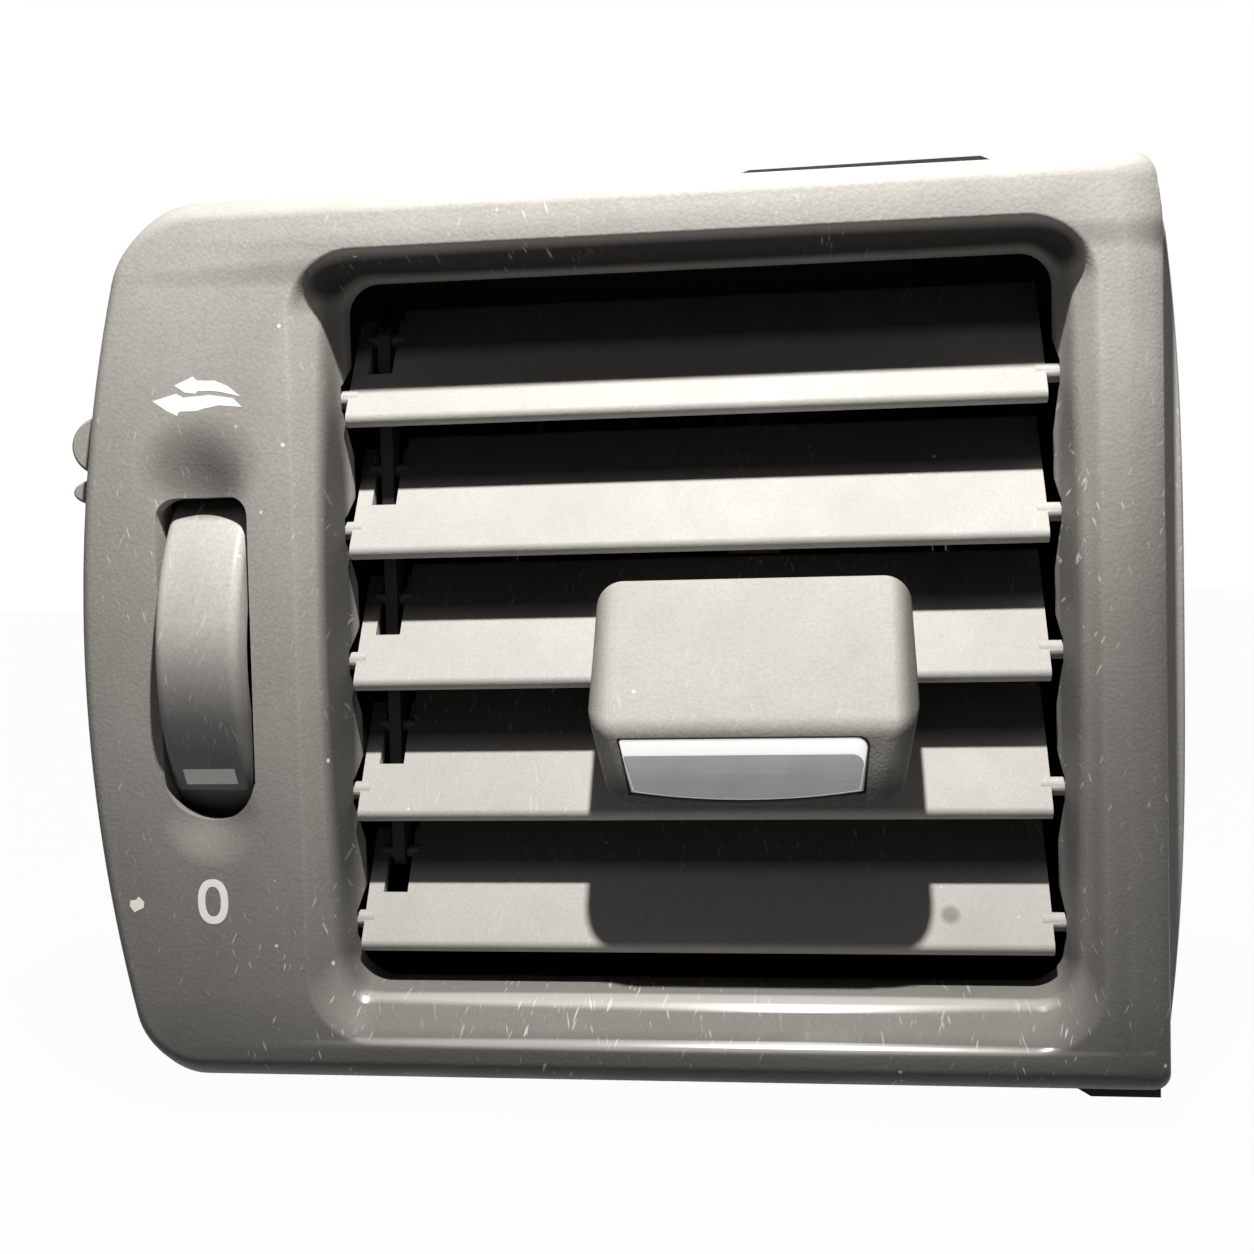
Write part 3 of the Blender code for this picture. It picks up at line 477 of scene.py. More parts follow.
wheel = {"x": -59.4, "depth": 25.4, "height": -0.85, "radius": 29.0, "halfWidth": 5.3,
         "slotLeft": -65.3, "slotRight": -53.6, "slotTop": 19.2, "slotBottom": -20.9,
         "slotCorner": 2.5, "slotDepth": 8.0, "room": 0.7, "scoopHalf": 6.9, "scoopDepth": 1.6,
         "scoopStart": 0.04, "scoopSink": 0.01, "scoopOverlap": 0.5, "scoopUp": 8.8,
         "scoopDown": 6.5, "steps": 144, "edge": 1.3, "rimDepth": 3.6, "rimTaper": 1.0,
         "webHalf": 1.5, "hubRoot": 6.0, "hub": 5.5, "bore": 3.3, "hubStart": 1.2, "hubEnd": 1.0,
         "step": 1.2, "stepAngle": -146.0, "stepSpan": 85.0, "pinArm": 10.0, "pinAngle": 80.0,
         "pin": 1.4, "pinEnd": -52.05, "pinBase": 2.6, "pinBaseEnd": -54.2, "barHalf": 3.3,
         "barDepth": 0.2, "barProud": 0.03, "barAngles": (-152.5, -151.0, -149.4, -147.9)}
vanes = {"count": 5, "pitch": 16.73, "top": 31.6, "pivot": 10.5, "tilt": math.radians(58),
         "halfLength": 43.2, "nose": 4.2, "tail": 14.5, "thickness": 2.2,
         "tailThickness": 1.1, "rows": 34, "pin": 1.15, "pinStart": 42.0, "pinReach": 48.9,
         "tieX": -39.6, "tieOffset": 9.4, "tiePin": 0.9, "tieHalf": 2.4, "tieSlot": 3.2,
         "tieSlotStart": 3.3, "endNotch": 7.4, "endNotchX": -41.3, "endNotchStart": 12.4,
         "cutEnd": 16.0, "cutHeight": 6.0, "weld": 0.003}


def bezelOutline(left, right, bottom, top, inset, lean, shelf=0.0):
    left, right, bottom, top = left + inset, right - inset, bottom + inset, top - inset
    upper, lower, small = (bezel[corner] - inset / 2
                           for corner in ("upperLeft", "lowerLeft", "rightCorners"))

    def bow(z):
        return bezel["bow"] - math.sqrt(bezel["bow"] ** 2 - z ** 2)

    # The ledge swells out, and the upper right corner leans in
    def bulge(z):
        start = bezel["leanStart"]
        leaning = lean * (max(z - start, 0.0) / (top - start)) ** 1.5
        share = abs((z - bezel["shelfMiddle"]) / bezel["shelfReach"])
        return shelf * max(1 - share ** 3, 0.0) - leaning

    rightSide = arc(right - small, bottom + small, small, -90, 0, 6)
    span = (top - small) - (bottom + small)
    rightSide += [(right, bottom + small + span * i / 48) for i in range(1, 48)]
    rightSide += arc(right - small, top - small, small, 0, 90, 6)
    leftSide = arc(left + upper, top - upper, upper, 90, 180, 14)
    span = (top - upper) - (bottom + lower)
    leftSide += [(left, top - upper - span * i / 30) for i in range(1, 30)]
    leftSide += arc(left + lower, bottom + lower, lower, 180, 270, 14)
    outline = [(x + bulge(z), z) for x, z in rightSide]
    return outline + [(x + bow(z), z) for x, z in leftSide]


# Depth, then how far the flank has flared at left, right and both ends, and how far
# the upper right corner leans in
flankRows = [(0.0, 0.0, 0.0, 0.0, 0.5), (0.8, 0.1, 1.8, 0.2, 0.6), (1.3, 0.15, 2.7, 0.5, 0.8),
             (1.6, 0.2, 2.9, 0.7, 0.9), (3.0, 0.5, 3.3, 1.6, 1.4), (7.0, 0.6, 4.0, 1.8, 1.9),
             (20.0, 0.6, 4.0, 1.8, 1.9)]


def flank(depth):
    for low, high in zip(flankRows, flankRows[1:]):
        if depth <= high[0]:
            share = (depth - low[0]) / (high[0] - low[0])
            return [a + share * (b - a) for a, b in zip(low[1:], high[1:])]


def outerRing(depth, inset, shelf=0.0):
    left, right, ends, lean = flank(depth)
    return [(x, depth, z) for x, z in
            bezelOutline(bezel["left"] - left, bezel["right"] + right, bezel["bottom"] - ends,
                         bezel["top"] + ends, inset, lean, shelf)]


# Depth, then how far the wall stands in at left, right, bottom and top, and the corner radius
openingWall = [(-1.0, -0.85, -0.85, -0.85, -0.85, 8.5), (0.0, -0.62, -0.62, -0.62, -0.62, 8.4),
               (0.06, -0.4, -0.4, -0.4, -0.4, 8.3), (0.2, -0.2, -0.2, -0.18, -0.24, 8.1),
               (0.65, 0.12, 0.1, 0.22, -0.02, 7.9), (1.2, 0.5, 0.4, 0.7, 0.16, 7.5),
               (2.6, 1.3, 1.0, 2.3, 0.4, 6.8), (4.1, 2.2, 1.7, 4.05, 0.72, 5.8),
               (4.7, 2.5, 1.97, 4.5, 0.86, 5.5), (5.6, 2.8, 2.15, 4.68, 1.0, 5.2),
               (9.0, 3.7, 2.9, 4.9, 1.5, 4.0), (13.5, 3.9, 3.1, 5.0, 1.7, 4.0)]


def openingRing(depth, left, right, bottom, top, radius, outward=0.0):
    outline = roundedBox(left - opening["halfWidth"] - outward,
                         opening["halfWidth"] - right + outward,
                         bottom - opening["halfHeight"] - outward,
                         opening["halfHeight"] - top + outward, radius + outward)
    return [(x, depth, z) for x, z in outline]


# A soft dish, level with the face at its edge
def scoop(height, reach):
    rings = []
    for i in range(17):
        share = wheel["scoopStart"] + (1 - wheel["scoopStart"]) * i / 16
        y = wheel["scoopDepth"] / 2 * (1 + math.cos(math.pi * share)) - wheel["scoopSink"]
        half = wheel["scoopHalf"] * share
        rings.append([(wheel["x"] + half * math.cos(a), y, height + reach * share * math.sin(a))
                      for a in [2 * math.pi * k / 48 for k in range(48)]])
    rings.append([(x, -1.0, z) for x, y, z in rings[-1]])
    return skinRings("scoop", rings)


def makeBezelBody():
    edge = bezel["edge"]
    rings = []
    for i in range(7):
        turn = math.radians(15 * i)
        depth = edge * (1 - math.cos(turn))
        rings.append(outerRing(depth, edge * (1 - math.sin(turn))))
    start, shelf = bezel["shelfStart"], bezel["shelf"]
    rings += [outerRing(depth, 0) for depth in (*bezel["flankDepths"], start)]
    rings += [outerRing(start + 0.15, 0, shelf - bezel["shelfRound"]),
              outerRing(start + 0.35, 0, shelf), outerRing(bezel["rim"], 0, shelf)]
    body = skinRings("bezelBody", rings)
    hollow = [[(x, depth, z) for x, y, z in outerRing(source, inset)]
              for depth, source, inset in bezel["hollow"]]
    combine(body, skinRings("hollow", hollow))
    # The collar follows the wall from behind the lip
    collar = [openingRing(min(row[0], opening["depth"]), *row[1:], outward=opening["collar"])
              for row in openingWall[5:]]
    combine(body, skinRings("collar", collar), "UNION")
    patch = roundedBox(*bezel["patch"], bezel["patchCorner"], 10)
    combine(body, prism("patch", patch, "y", *bezel["patchDepth"]), "UNION")
    combine(body, skinRings("opening", [openingRing(*row) for row in openingWall]))
    return body


# Two rounded bumps on the left flank
def addBumps(body):
    for height, reach in bezel["bumps"]:
        rings = []
        for depth, shrink in bezel["bumpRows"]:
            out = bezel["bumpReach"] - shrink
            rings.append([(bezel["left"] + bezel["bumpInset"] + out * a, depth,
                           height + (reach - shrink) * b) for a, b in arc(0, 0, 1, 90, 270, 28)])
        combine(body, skinRings("bump", rings), "UNION")


def cutWheelSlot(body):
    left, right = wheel["slotLeft"], wheel["slotRight"]
    top, bottom = wheel["slotTop"], wheel["slotBottom"]
    low, high = (right - left) / 2, wheel["slotCorner"]
    slot = arc(left + low, bottom + low, low, 180, 360, 32)
    slot += arc(right - high, top - high, high, 0, 90, 8)
    slot += arc(left + high, top - high, high, 90, 180, 8)
    combine(body, prism("slot", slot, "y", -2, wheel["slotDepth"]))
    room = circle(wheel["depth"], wheel["height"], wheel["radius"] + wheel["room"], 96)
    combine(body, prism("wheelRoom", room, "x", left, right))
    combine(body, scoop(top - wheel["scoopOverlap"], wheel["scoopUp"]))
    combine(body, scoop(bottom + wheel["scoopOverlap"], wheel["scoopDown"]))


# Reliefs where the housing's tab and lug pass, and notches for the vanes' pins
def cutRearEdge(body):
    for name, (left, right, bottom, top) in (("tabRelief", bezel["tab"]),
                                             ("lugRelief", bezel["lug"])):
        relief = [(left, bottom), (right, bottom), (right, top), (left, top)]
        combine(body, prism(name, relief, "y", bezel["rim"] - bezel["relief"], bezel["rim"] + 1))
    front, rear, half = opening["notchStart"], opening["depth"] + 1, opening["notchHalf"]
    for index in range(vanes["count"]):
        z = vanes["top"] - vanes["pitch"] * index
        notch = [(front, z - half), (front, z + half), (rear, z + opening["notchRise"]),
                 (rear, z - opening["notchFall"])]
        combine(body, prism("notch", notch, "x", -opening["notchReach"], opening["notchReach"]))


def makeBezel():
    body = makeBezelBody()
    addBumps(body)
    cutWheelSlot(body)
    cutRearEdge(body)
    smoothed(body, angle=32)
    return dress(body, facePlastic, "frame", "face_plastic", "bezel")


makeBezel()
print("bezel made")

# Front vanes, one Geometry Nodes tree with the pivot height as input


def makeVaneTree():
    tree, given, result = newGroup(
        "tiltingVane", "GeometryNodeTree",
        [("Geometry", "Geometry", None), ("Pivot Height", "Float", 0.0),
         ("Half Length", "Float", vanes["halfLength"] * mm),
         ("Nose", "Float", vanes["nose"] * mm),
         ("Tail", "Float", vanes["tail"] * mm),
         ("Thickness", "Float", vanes["thickness"] * mm),
         ("Tail Thickness", "Float", vanes["tailThickness"] * mm),
         ("Tilt", "Float", vanes["tilt"]),
         ("Material", "Material", None)],
        [("Geometry", "Geometry")])

    def maths(operation, *sources):
        return mathsOf(tree, operation, *sources)

    def vector(x, y, z):
        node = addNode(tree, "ShaderNodeCombineXYZ")
        for target, source in zip(node.inputs, (x, y, z)):
            feed(tree, source, target)
        return node.outputs[0]

    def moved(mesh, translation, rotation=None):
        node = addNode(tree, "GeometryNodeTransform")
        tree.links.new(mesh, node.inputs["Geometry"])
        tree.links.new(translation, node.inputs["Translation"])
        if rotation is not None:
            tree.links.new(rotation, node.inputs["Rotation"])
        return node.outputs["Geometry"]

    get = given.outputs
    slab = addNode(tree, "GeometryNodeMeshCube",
                   {"Vertices X": 2, "Vertices Y": vanes["rows"], "Vertices Z": 2})
    length = maths("MULTIPLY", get["Half Length"], 2.0)
    tree.links.new(vector(length, 1.0, 1.0), slab.inputs["Size"])
    place = addNode(tree, "GeometryNodeInputPosition")
    parts = addNode(tree, "ShaderNodeSeparateXYZ")
    tree.links.new(place.outputs[0], parts.inputs[0])
    # Closer rows at nose and tail, then the thickness that each row has
    turn = maths("MULTIPLY", maths("ADD", parts.outputs[1], 0.5), math.pi)
    share = maths("MULTIPLY_ADD", maths("COSINE", turn), -0.5, 0.5)
    chord = maths("ADD", get["Nose"], get["Tail"])
    fromNose = maths("MULTIPLY", share, chord)
    fromTail = maths("SUBTRACT", chord, fromNose)
    half = maths("MULTIPLY", get["Thickness"], 0.5)
    tailHalf = maths("MULTIPLY", get["Tail Thickness"], 0.5)

    def rounding(radius, distance):
        short = maths("MAXIMUM", maths("SUBTRACT", radius, distance), 0.0)
        inside = maths("SUBTRACT", maths("MULTIPLY", radius, radius),
                       maths("MULTIPLY", short, short))
        return maths("SQRT", maths("MAXIMUM", inside, 0.0))

    body = maths("MULTIPLY_ADD", share, maths("SUBTRACT", tailHalf, half), half)
    thick = maths("MINIMUM", rounding(half, fromNose), body)
    thick = maths("MULTIPLY", thick, maths("DIVIDE", rounding(tailHalf, fromTail), tailHalf))
    shaped = addNode(tree, "GeometryNodeSetPosition")
    tree.links.new(slab.outputs["Mesh"], shaped.inputs["Geometry"])
    tree.links.new(vector(parts.outputs[0], maths("SUBTRACT", fromNose, get["Nose"]),
                          maths("MULTIPLY", maths("MULTIPLY", parts.outputs[2], 2.0), thick)),
                   shaped.inputs["Position"])
    welded = addNode(tree, "GeometryNodeMergeByDistance", {"Distance": vanes["weld"] * mm})
    tree.links.new(shaped.outputs["Geometry"], welded.inputs["Geometry"])

    def block(width, start, end, x):
        size = (width * mm, (end - start) * mm, vanes["cutHeight"] * mm)
        cube = addNode(tree, "GeometryNodeMeshCube", {"Size": size})
        return moved(cube.outputs["Mesh"], vector(x * mm, (start + end) / 2 * mm, 0.0))

    def rod(radius, left, right, y):
        bar = addNode(tree, "GeometryNodeMeshCylinder",
                      {"Vertices": 32, "Radius": radius * mm, "Depth": (right - left) * mm})
        return moved(bar.outputs["Mesh"], vector((left + right) / 2 * mm, y * mm, 0.0),
                     vector(0.0, math.pi / 2, 0.0))

    def boolean(operation, first, *others):
        node = addNode(tree, "GeometryNodeMeshBoolean", operation=operation, solver="EXACT")
        if operation == "UNION":
            tree.links.new(first, node.inputs["Mesh 2"])
        else:
            tree.links.new(first, node.inputs["Mesh 1"])
        for other in others:
            tree.links.new(other, node.inputs["Mesh 2"])
        return node.outputs["Mesh"]

    middle, end = vanes["tieX"], vanes["cutEnd"]
    carved = boolean("DIFFERENCE", welded.outputs["Geometry"],
                     block(vanes["endNotch"], vanes["endNotchStart"], end, vanes["endNotchX"]),
                     block(vanes["tieSlot"], vanes["tieSlotStart"], end, middle))
    reach, start = vanes["pinReach"], vanes["pinStart"]
    whole = boolean("UNION", carved, rod(vanes["pin"], -reach, -start, 0.0),
                    rod(vanes["pin"], start, reach, 0.0),
                    rod(vanes["tiePin"], middle - vanes["tieHalf"], middle + vanes["tieHalf"],
                        vanes["tieOffset"]))
    inPlace = moved(whole, vector(0.0, vanes["pivot"] * mm, get["Pivot Height"]),
                    vector(get["Tilt"], 0.0, 0.0))
    real = addNode(tree, "GeometryNodeRealizeInstances")
    paint = addNode(tree, "GeometryNodeSetMaterial")
    joinUp(tree, (inPlace, real.inputs["Geometry"]),
           (real.outputs["Geometry"], paint.inputs["Geometry"]),
           (get["Material"], paint.inputs["Material"]),
           (paint.outputs["Geometry"], result.inputs["Geometry"]))
    return tree


def socketId(tree, label):
    return next(item.identifier for item in tree.interface.items_tree
                if item.name == label and item.in_out == "INPUT")


vaneTree = makeVaneTree()
for index in range(vanes["count"]):
    vane = link(bpy.data.objects.new(f"ventVane{index + 1}", bpy.data.meshes.new("vane")))
    modifier = vane.modifiers.new("tiltingVane", "NODES")
    modifier.node_group = vaneTree
    modifier[socketId(vaneTree, "Pivot Height")] = (vanes["top"] - vanes["pitch"] * index) * mm
    modifier[socketId(vaneTree, "Material")] = vanePlastic
    bake(vane)
    smoothed(vane, angle=35, joinFlat=True)
    dress(vane, vanePlastic, f"tilt_vane_{index + 1}", "vane_plastic",
          f"horizontal_vane_{index + 1}")
print("vanes made")

# Knob

# On the tilted vane u runs along its depth and n stands up from it. Cuts in the knob are
# (start, end, low, high) in u and n. The sides draw in above and below the waist.
knob = {"centre": 7.55, "halfWidth": 19.5, "edge": 3.2, "fork": 3.35, "forkRoom": 0.3,
        "faceTop": (15.5, 8.1), "faceSlope": math.radians(50.8), "faceLength": 8.5,
        "middle": (5.0, 1.5), "waist": -6.5, "taperUp": 0.03, "taperDown": 0.19,
        "slot": (-9.0, 5.0, -1.5, 1.5), "pad": (-4.3, 2.3, 1.0, 2.7), "padHalf": 8.3,
        "seat": (-9.0, 2.0, -4.5, -2.3), "pocket": (-1.2, 4.0), "pocketRoom": 0.3}
# Rows of the strip are how far out, how far in from the outline, and how far the top drops
strip = {"left": -7.8, "right": 20.8, "height": 7.9, "bow": 1.1, "corner": 1.3, "chamfer": 0.2,
         "drawRight": 0.5, "drawLeft": 1.0, "frontAngle": math.radians(12),
         "rows": ((-0.9, 0.0, 0.0), (-0.12, 0.0, 0.0), (-0.08, 0.03, 0.03), (0.44, 0.34, 1.2),
                  (0.5, 0.46, 1.32))}
knobHeight = vanes["top"] - vanes["pitch"] * 2


def tilted(u, n, height=knobHeight):
    sine, cosine = math.sin(vanes["tilt"]), math.cos(vanes["tilt"])
    return (vanes["pivot"] - u * cosine - n * sine, height - u * sine + n * cosine)


# Rounds each (u, n, radius) corner of an outline
def filleted(corners):
    outline = []
    count = len(corners)
    for i, (u, n, radius) in enumerate(corners):
        here = Vector((u, n))
        back = (Vector(corners[i - 1][:2]) - here).normalized()
        ahead = (Vector(corners[(i + 1) % count][:2]) - here).normalized()
        angle = back.angle(ahead)
        reach = radius / math.tan(angle / 2)
        start, end = here + back * reach, here + ahead * reach
        for k in range(7):
            t = k / 6
            outline.append(tuple((1 - t) ** 2 * start + 2 * t * (1 - t) * here + t * t * end))
    return outline


faceTop = knob["faceTop"]
faceDown = (math.cos(knob["faceSlope"]), -math.sin(knob["faceSlope"]))
faceOut = (-faceDown[1], faceDown[0])
faceEnd = [top + knob["faceLength"] * down for top, down in zip(faceTop, faceDown)]
knobSection = filleted([(-6.5, -5.4, 0.4), (6.0, -5.6, 3.0), (11.5, -4.5, 3.0), (16.6, -1.9, 3.0),
                        (20.2, 0.35, 0.5), (*faceEnd, 0.5), (14.5, 9.35, 2.9), (4.0, 8.9, 2.0),
                        (-6.5, 8.3, 1.3)])


def knobRing(side, x, inset):
    ring = []
    middleU, middleN = knob["middle"]
    for u, n in knobSection:
        du, dn = u - middleU, n - middleN
        shrink = 1 - inset / math.hypot(du, dn)
        y, z = tilted(middleU + du * shrink, middleN + dn * shrink)
        above = z - knob["waist"]
        taper = knob["taperUp"] * max(above, 0) + knob["taperDown"] * max(-above, 0)
        ring.append((knob["centre"] + side * (x - taper), y, z))
    return ring


def onKnobFace(x, down, out):
    u = faceTop[0] + down * faceDown[0] + out * faceOut[0]
    n = faceTop[1] + down * faceDown[1] + out * faceOut[1]
    return (x, *tilted(u, n))


def stripOutline(grow, drop=0.0):
    left, right = strip["left"], strip["right"]
    chamfer, corner = strip["chamfer"], strip["corner"]
    outline = [(left - grow, drop + chamfer - grow), (left + chamfer - grow, drop - grow)]
    outline += [(x + grow, down) for x, down in
                arc(right - corner, drop + corner - grow, corner, -90, 0, 6)]
    lowRight, lowLeft = right - strip["drawRight"] + grow, left + strip["drawLeft"] - grow
    for i in range(33):
        x = lowRight - i / 32 * (lowRight - lowLeft)
        outline.append((x, strip["height"] - strip["bow"] * (i / 16 - 1) ** 2 + grow))
    return outline


# A cut through the knob, as far to each side of its middle as half says
def cutKnob(shell, name, half):
    start, end, low, high = knob[name]
    outline = [tilted(u, n) for u, n in ((start, low), (end, low), (end, high), (start, high))]
    combine(shell, prism(name, outline, "x", knob["centre"] - half, knob["centre"] + half))


def makeKnobShell():
    edge = knob["edge"]
    turns = [math.radians(a) for a in range(0, 91, 10)]
    rings = [knobRing(side, knob["halfWidth"] - edge * (1 - math.cos(a)), edge * (1 - math.sin(a)))
             for side, run in ((-1, turns), (1, turns[::-1])) for a in run]
    shell = skinRings("knobShell", rings)
    cutKnob(shell, "slot", knob["halfWidth"] + 1)
    cutKnob(shell, "pad", knob["padHalf"])
    cutKnob(shell, "seat", knob["fork"] + knob["forkRoom"])
    pocket = [[onKnobFace(x, down, out) for x, down in stripOutline(knob["pocketRoom"])]
              for out in knob["pocket"]]
    combine(shell, skinRings("pocket", pocket))
    smoothed(shell, angle=40)
    dress(shell, knobPlastic, "knob", "face_plastic", "knob_shell")


def makeTrimStrip():
    rings = [[onKnobFace(x, down, out) for x, down in stripOutline(-inset, drop)]
             for out, inset, drop in strip["rows"]]
    trim = smoothed(skinRings("knobTrimStrip", rings), angle=40)
    dress(trim, brushedTrim, "knob", "brushed_trim", "knob_trim_strip")
    # Faces that turn away from the front get the paler metal, a painted highlight along the strip's
    # edges
    trim.data.materials.append(paintedHighlightEdge)
    front = (Vector(onKnobFace(0, 0, 1)) - Vector(onKnobFace(0, 0, 0))).normalized()
    for polygon in trim.data.polygons:
        if polygon.normal.angle(front) > strip["frontAngle"]:
            polygon.material_index = 1


makeKnobShell()
makeTrimStrip()
print("knob made")

# Thumbwheel with its white index bar


def onWheel(radius, angle):
    turn = math.radians(angle)
    return (wheel["depth"] + radius * math.cos(turn), wheel["height"] + radius * math.sin(turn))


def makeThumbwheel():
    left, right = wheel["x"] - wheel["halfWidth"], wheel["x"] + wheel["halfWidth"]
    radius, edge, middle = wheel["radius"], wheel["edge"], wheel["x"]
    inner = radius - wheel["rimDepth"]
    taper = inner - wheel["rimTaper"]
    profile = [(left, inner)] + arc(left + edge, radius - edge, edge, 180, 90, 6)
    profile += arc(right - edge, radius - edge, edge, 90, 0, 6)
    web, root, hub, bore = wheel["webHalf"], wheel["hubRoot"], wheel["hub"], wheel["bore"]
    hubRight, hubLeft = right - wheel["hubEnd"], left + wheel["hubStart"]
    profile += [(right, inner), (middle + web, taper), (middle + web, root),
                (hubRight, hub), (hubRight, bore), (hubLeft, bore), (hubLeft, hub),
                (middle - web, root), (middle - web, taper)]
    rings = [[(x, *onWheel(r, 360 * i / wheel["steps"])) for x, r in profile]
             for i in range(wheel["steps"])]
    disc = skinRings("thumbwheelDisc", rings, closed=True)
    # The raised band ends in a step
    start, end = wheel["stepAngle"], wheel["stepAngle"] + wheel["stepSpan"]
    recess = arc(wheel["depth"], wheel["height"], radius + 1, start, end, 40)
    recess += arc(wheel["depth"], wheel["height"], radius - wheel["step"], end, start, 40)
    combine(disc, prism("recess", recess, "x", left - 1, right + 1))
    # The pin for the link and its foot start inside the web
    pin = onWheel(wheel["pinArm"], wheel["pinAngle"])
    for name, size, end in (("pin", wheel["pin"], wheel["pinEnd"]),
                            ("base", wheel["pinBase"], wheel["pinBaseEnd"])):
        combine(disc, prism(name, circle(*pin, size, 32), "x", middle + 0.5, end), "UNION")
    smoothed(disc, angle=35)
    dress(disc, wheelPlastic, "wheel", "wheel_plastic", "thumbwheel")


def makeIndexBar():
    outline = [onWheel(wheel["radius"] - wheel["barDepth"], angle) for angle in wheel["barAngles"]]
    outline += [onWheel(wheel["radius"] + wheel["barProud"], angle)
                for angle in wheel["barAngles"][::-1]]
    bar = prism("indexBar", outline, "x", wheel["x"] - wheel["barHalf"],
                wheel["x"] + wheel["barHalf"])
    dress(smoothed(bar), whiteInk, "wheel", "wheel_plastic")


makeThumbwheel()
makeIndexBar()
print("thumbwheel made")

# Printed marks, a few hundredths of a millimetre proud of the face

marks = {"zeroX": -59.55, "zeroZ": -30.8, "zeroHalfWidth": 1.95, "zeroHalfHeight": 2.8,
         "squareness": 0.86, "stroke": 0.95, "proud": 0.03, "depth": 0.2}


def flatMark(name, outline, hole=None):
    mark = prism(name, outline, "y", -marks["proud"], marks["depth"])
    if hole:
        combine(mark, prism("hole", hole, "y", -1, 1))
    return dress(smoothed(mark), whiteInk, "frame", "face_plastic")


# A little squarer than an ellipse
def oval(grow):
    outline = []
    for a, b in circle(0, 0, 1, 64):
        x = (marks["zeroHalfWidth"] + grow) * math.copysign(abs(a) ** marks["squareness"], a)
        z = (marks["zeroHalfHeight"] + grow) * math.copysign(abs(b) ** marks["squareness"], b)
        outline.append((marks["zeroX"] + x, marks["zeroZ"] + z))
    return outline


flatMark("closedFigure", oval(0.0), oval(-marks["stroke"]))
lowerLeaf = [(-65.1, 31.1), (-62.0, 31.9), (-61.1, 31.4), (-57.7, 31.6), (-54.8, 31.1),
             (-53.7, 30.0), (-56.6, 30.3), (-58.3, 30.0), (-59.5, 29.7), (-61.7, 29.7),
             (-62.0, 29.2), (-63.4, 29.9)]
upperLeaf = [(-62.2, 32.9), (-59.8, 33.9), (-59.3, 33.4), (-57.0, 33.3), (-55.4, 32.6),
             (-53.9, 31.3), (-56.5, 31.95), (-57.8, 32.1), (-59.3, 32.1), (-59.5, 31.8),
             (-60.9, 32.0)]
flatMark("airflowMarkLower", lowerLeaf[::-1])
flatMark("airflowMarkUpper", upperLeaf[::-1])
flatMark("paintChip", [(-70.4, -31.4), (-69.8, -32.2), (-69.3, -31.9), (-68.6, -31.6),
                       (-68.5, -30.9), (-69.2, -30.2), (-69.6, -30.6), (-70.3, -30.7)])
print("marks made")

# What the solids already shape well keeps them, with a finer skin

blackPieces = ["duct_housing", "left_vane_bearing", "right_vane_bearing",
               "upper_vertical_vane_bearing", "lower_vertical_vane_bearing", "vane_tie_bar",
               "vertical_vane_tie_bar", "thumbwheel_link", "damper_flap"]
finishes = dict.fromkeys(blackPieces, blackPlastic)
finishes.update({"knob_fork": slidePlastic, "damper_crank": slidePlastic, "duct_seal": foam,
                 "damper_seal": foam, "knob_friction_pad": foam,
                 "thumbwheel_retainer": springSteel})
finishes.update({f"vertical_vane_{number}": blackPlastic for number in range(1, 8)})
slots = {item["node"]: item["material_slot"] for item in frame["record"]["subparts"]}
bodies = {node: body for body, nodes in frame["record"]["behaviour"]["bodies"].items()
          for node in nodes}
for node, finish in finishes.items():
    name = node.replace("_", " ").title().replace(" ", "") + "Skin"
    piece = link(bpy.data.objects.new(name, frame["nodes"][node].data.copy()))
    smoothed(piece, angle=32, joinFlat=True)
    dress(piece, finish, bodies[node], slots[node], node)
print("hidden pieces dressed")

# Floor, lamp and camera

stage = {"floor": -58.2, "floorReach": 3000.0, "floorTone": 0.2, "floorRoughness": 0.9,
         "whiteShare": 0.97, "fill": 0.001, "fillColour": (1, 0.985, 0.96, 1)}
keyLamp = {"place": (10.0, -98.0, 207.0), "aim": (-4.0, 2.0, 0.0), "size": 9.0, "power": 1.18,
           "colour": (1, 0.975, 0.94)}
# Fitted to the photo: angles in degrees, focal length and frame in its pixels
view = {"place": (14.59, -176.71, 9.4), "yaw": 6.99, "pitch": 2.29, "roll": -1.37,
        "focal": 1500, "frame": 1254, "sensor": 36}


# One for camera, glossy and transmission rays, which see the white background
def seenWhite(tree):
    rays = addNode(tree, "ShaderNodeLightPath").outputs
    first = mathsOf(tree, "MAXIMUM", rays["Is Camera Ray"], rays["Is Glossy Ray"])
    return mathsOf(tree, "MAXIMUM", first, rays["Is Transmission Ray"])


# The camera sees the floor nearly white, and a little of its own shade keeps the shadow
def floorMaterial():
    material = bpy.data.materials.new("paleFloor")
    material.use_nodes = True
    tree = material.node_tree
    shader = tree.nodes["Principled BSDF"]
    tone = stage["floorTone"]
    shader.inputs["Base Color"].default_value = (tone, tone, tone, 1)
    shader.inputs["Roughness"].default_value = stage["floorRoughness"]
    share = mathsOf(tree, "MULTIPLY", seenWhite(tree), stage["whiteShare"])
    glow = addNode(tree, "ShaderNodeEmission", {"Color": (1, 1, 1, 1), "Strength": 1.0})
    mix = addNode(tree, "ShaderNodeMixShader")
    joinUp(tree, (share, mix.inputs[0]), (shader.outputs[0], mix.inputs[1]),
           (glow.outputs[0], mix.inputs[2]),
           (mix.outputs[0], tree.nodes["Material Output"].inputs["Surface"]))
    return material


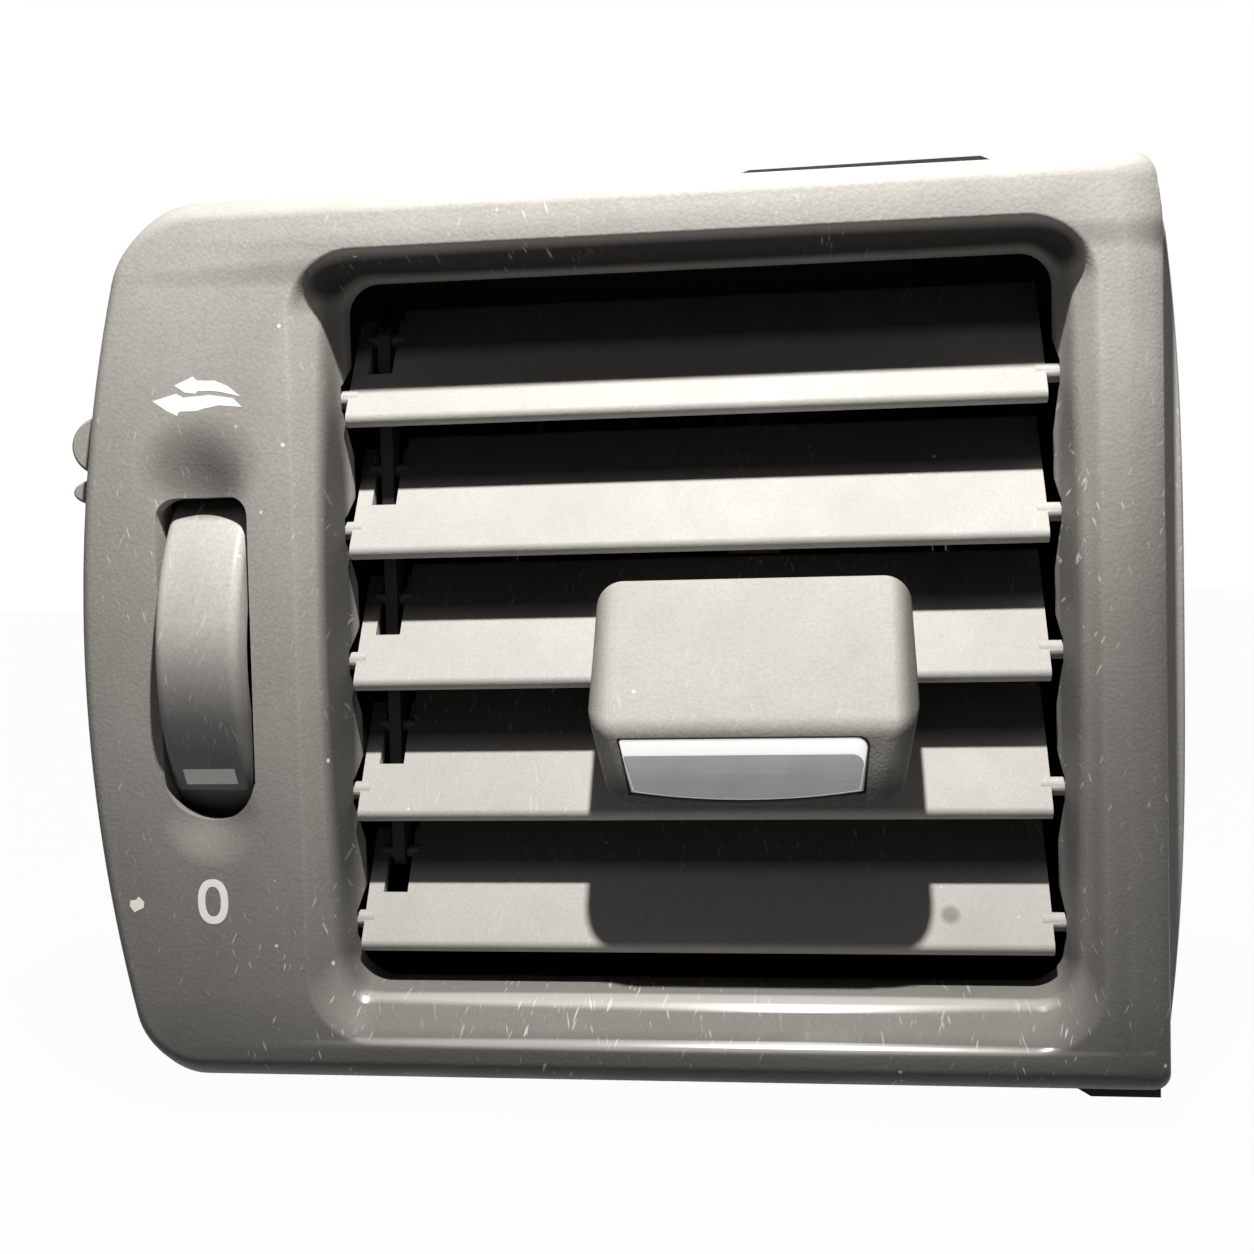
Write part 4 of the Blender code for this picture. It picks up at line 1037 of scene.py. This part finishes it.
def makeFloor():
    low, reach = stage["floor"] * mm, stage["floorReach"] * mm
    corners = [(-reach, -reach, low), (reach, -reach, low), (reach, reach, low),
               (-reach, reach, low)]
    mesh = bpy.data.meshes.new("floor")
    mesh.from_pydata(corners, [], [(0, 1, 2, 3)])
    floor = link(bpy.data.objects.new("floor", mesh))
    floor.data.materials.append(floorMaterial())


def makeWorld():
    world = bpy.data.worlds.new("studio")
    bpy.context.scene.world = world
    world.use_nodes = True
    tree = world.node_tree
    ambient = tree.nodes["Background"]
    ambient.inputs["Color"].default_value = stage["fillColour"]
    ambient.inputs["Strength"].default_value = stage["fill"]
    white = addNode(tree, "ShaderNodeBackground", {"Color": (1, 1, 1, 1), "Strength": 1.0})
    mix = addNode(tree, "ShaderNodeMixShader")
    joinUp(tree, (seenWhite(tree), mix.inputs[0]),
           (ambient.outputs[0], mix.inputs[1]), (white.outputs[0], mix.inputs[2]),
           (mix.outputs[0], tree.nodes["World Output"].inputs["Surface"]))


def makeLamp(name, look):
    data = bpy.data.lights.new(name, "AREA")
    data.shape = "DISK"
    data.size = look["size"] * mm
    data.energy = look["power"]
    data.color = look["colour"]
    lamp = link(bpy.data.objects.new(name, data))
    place = Vector(look["place"])
    lamp.location = place * mm
    lamp.rotation_euler = (Vector(look["aim"]) - place).to_track_quat("-Z", "Y").to_euler()


def makeCamera():
    yaw, pitch, roll = (math.radians(view[name]) for name in ("yaw", "pitch", "roll"))
    ahead = Vector((-math.sin(yaw) * math.cos(pitch), math.cos(yaw) * math.cos(pitch),
                    -math.sin(pitch)))
    right = Vector((math.cos(yaw), math.sin(yaw), 0))
    up = right.cross(ahead)
    across = math.cos(roll) * right + math.sin(roll) * up
    upright = -math.sin(roll) * right + math.cos(roll) * up
    data = bpy.data.cameras.new("photoCamera")
    data.sensor_width = view["sensor"]
    data.lens = view["sensor"] * view["focal"] / view["frame"]
    data.clip_start = 10 * mm
    camera = link(bpy.data.objects.new("photoCamera", data))
    turn = Matrix((across, upright, -ahead)).transposed().to_4x4()
    camera.matrix_world = Matrix.Translation(Vector(view["place"]) * mm) @ turn
    bpy.context.scene.camera = camera


makeFloor()
makeWorld()
makeLamp("keyLamp", keyLamp)
makeCamera()
bpy.context.scene.view_settings.view_transform = "Standard"
print("stage made")
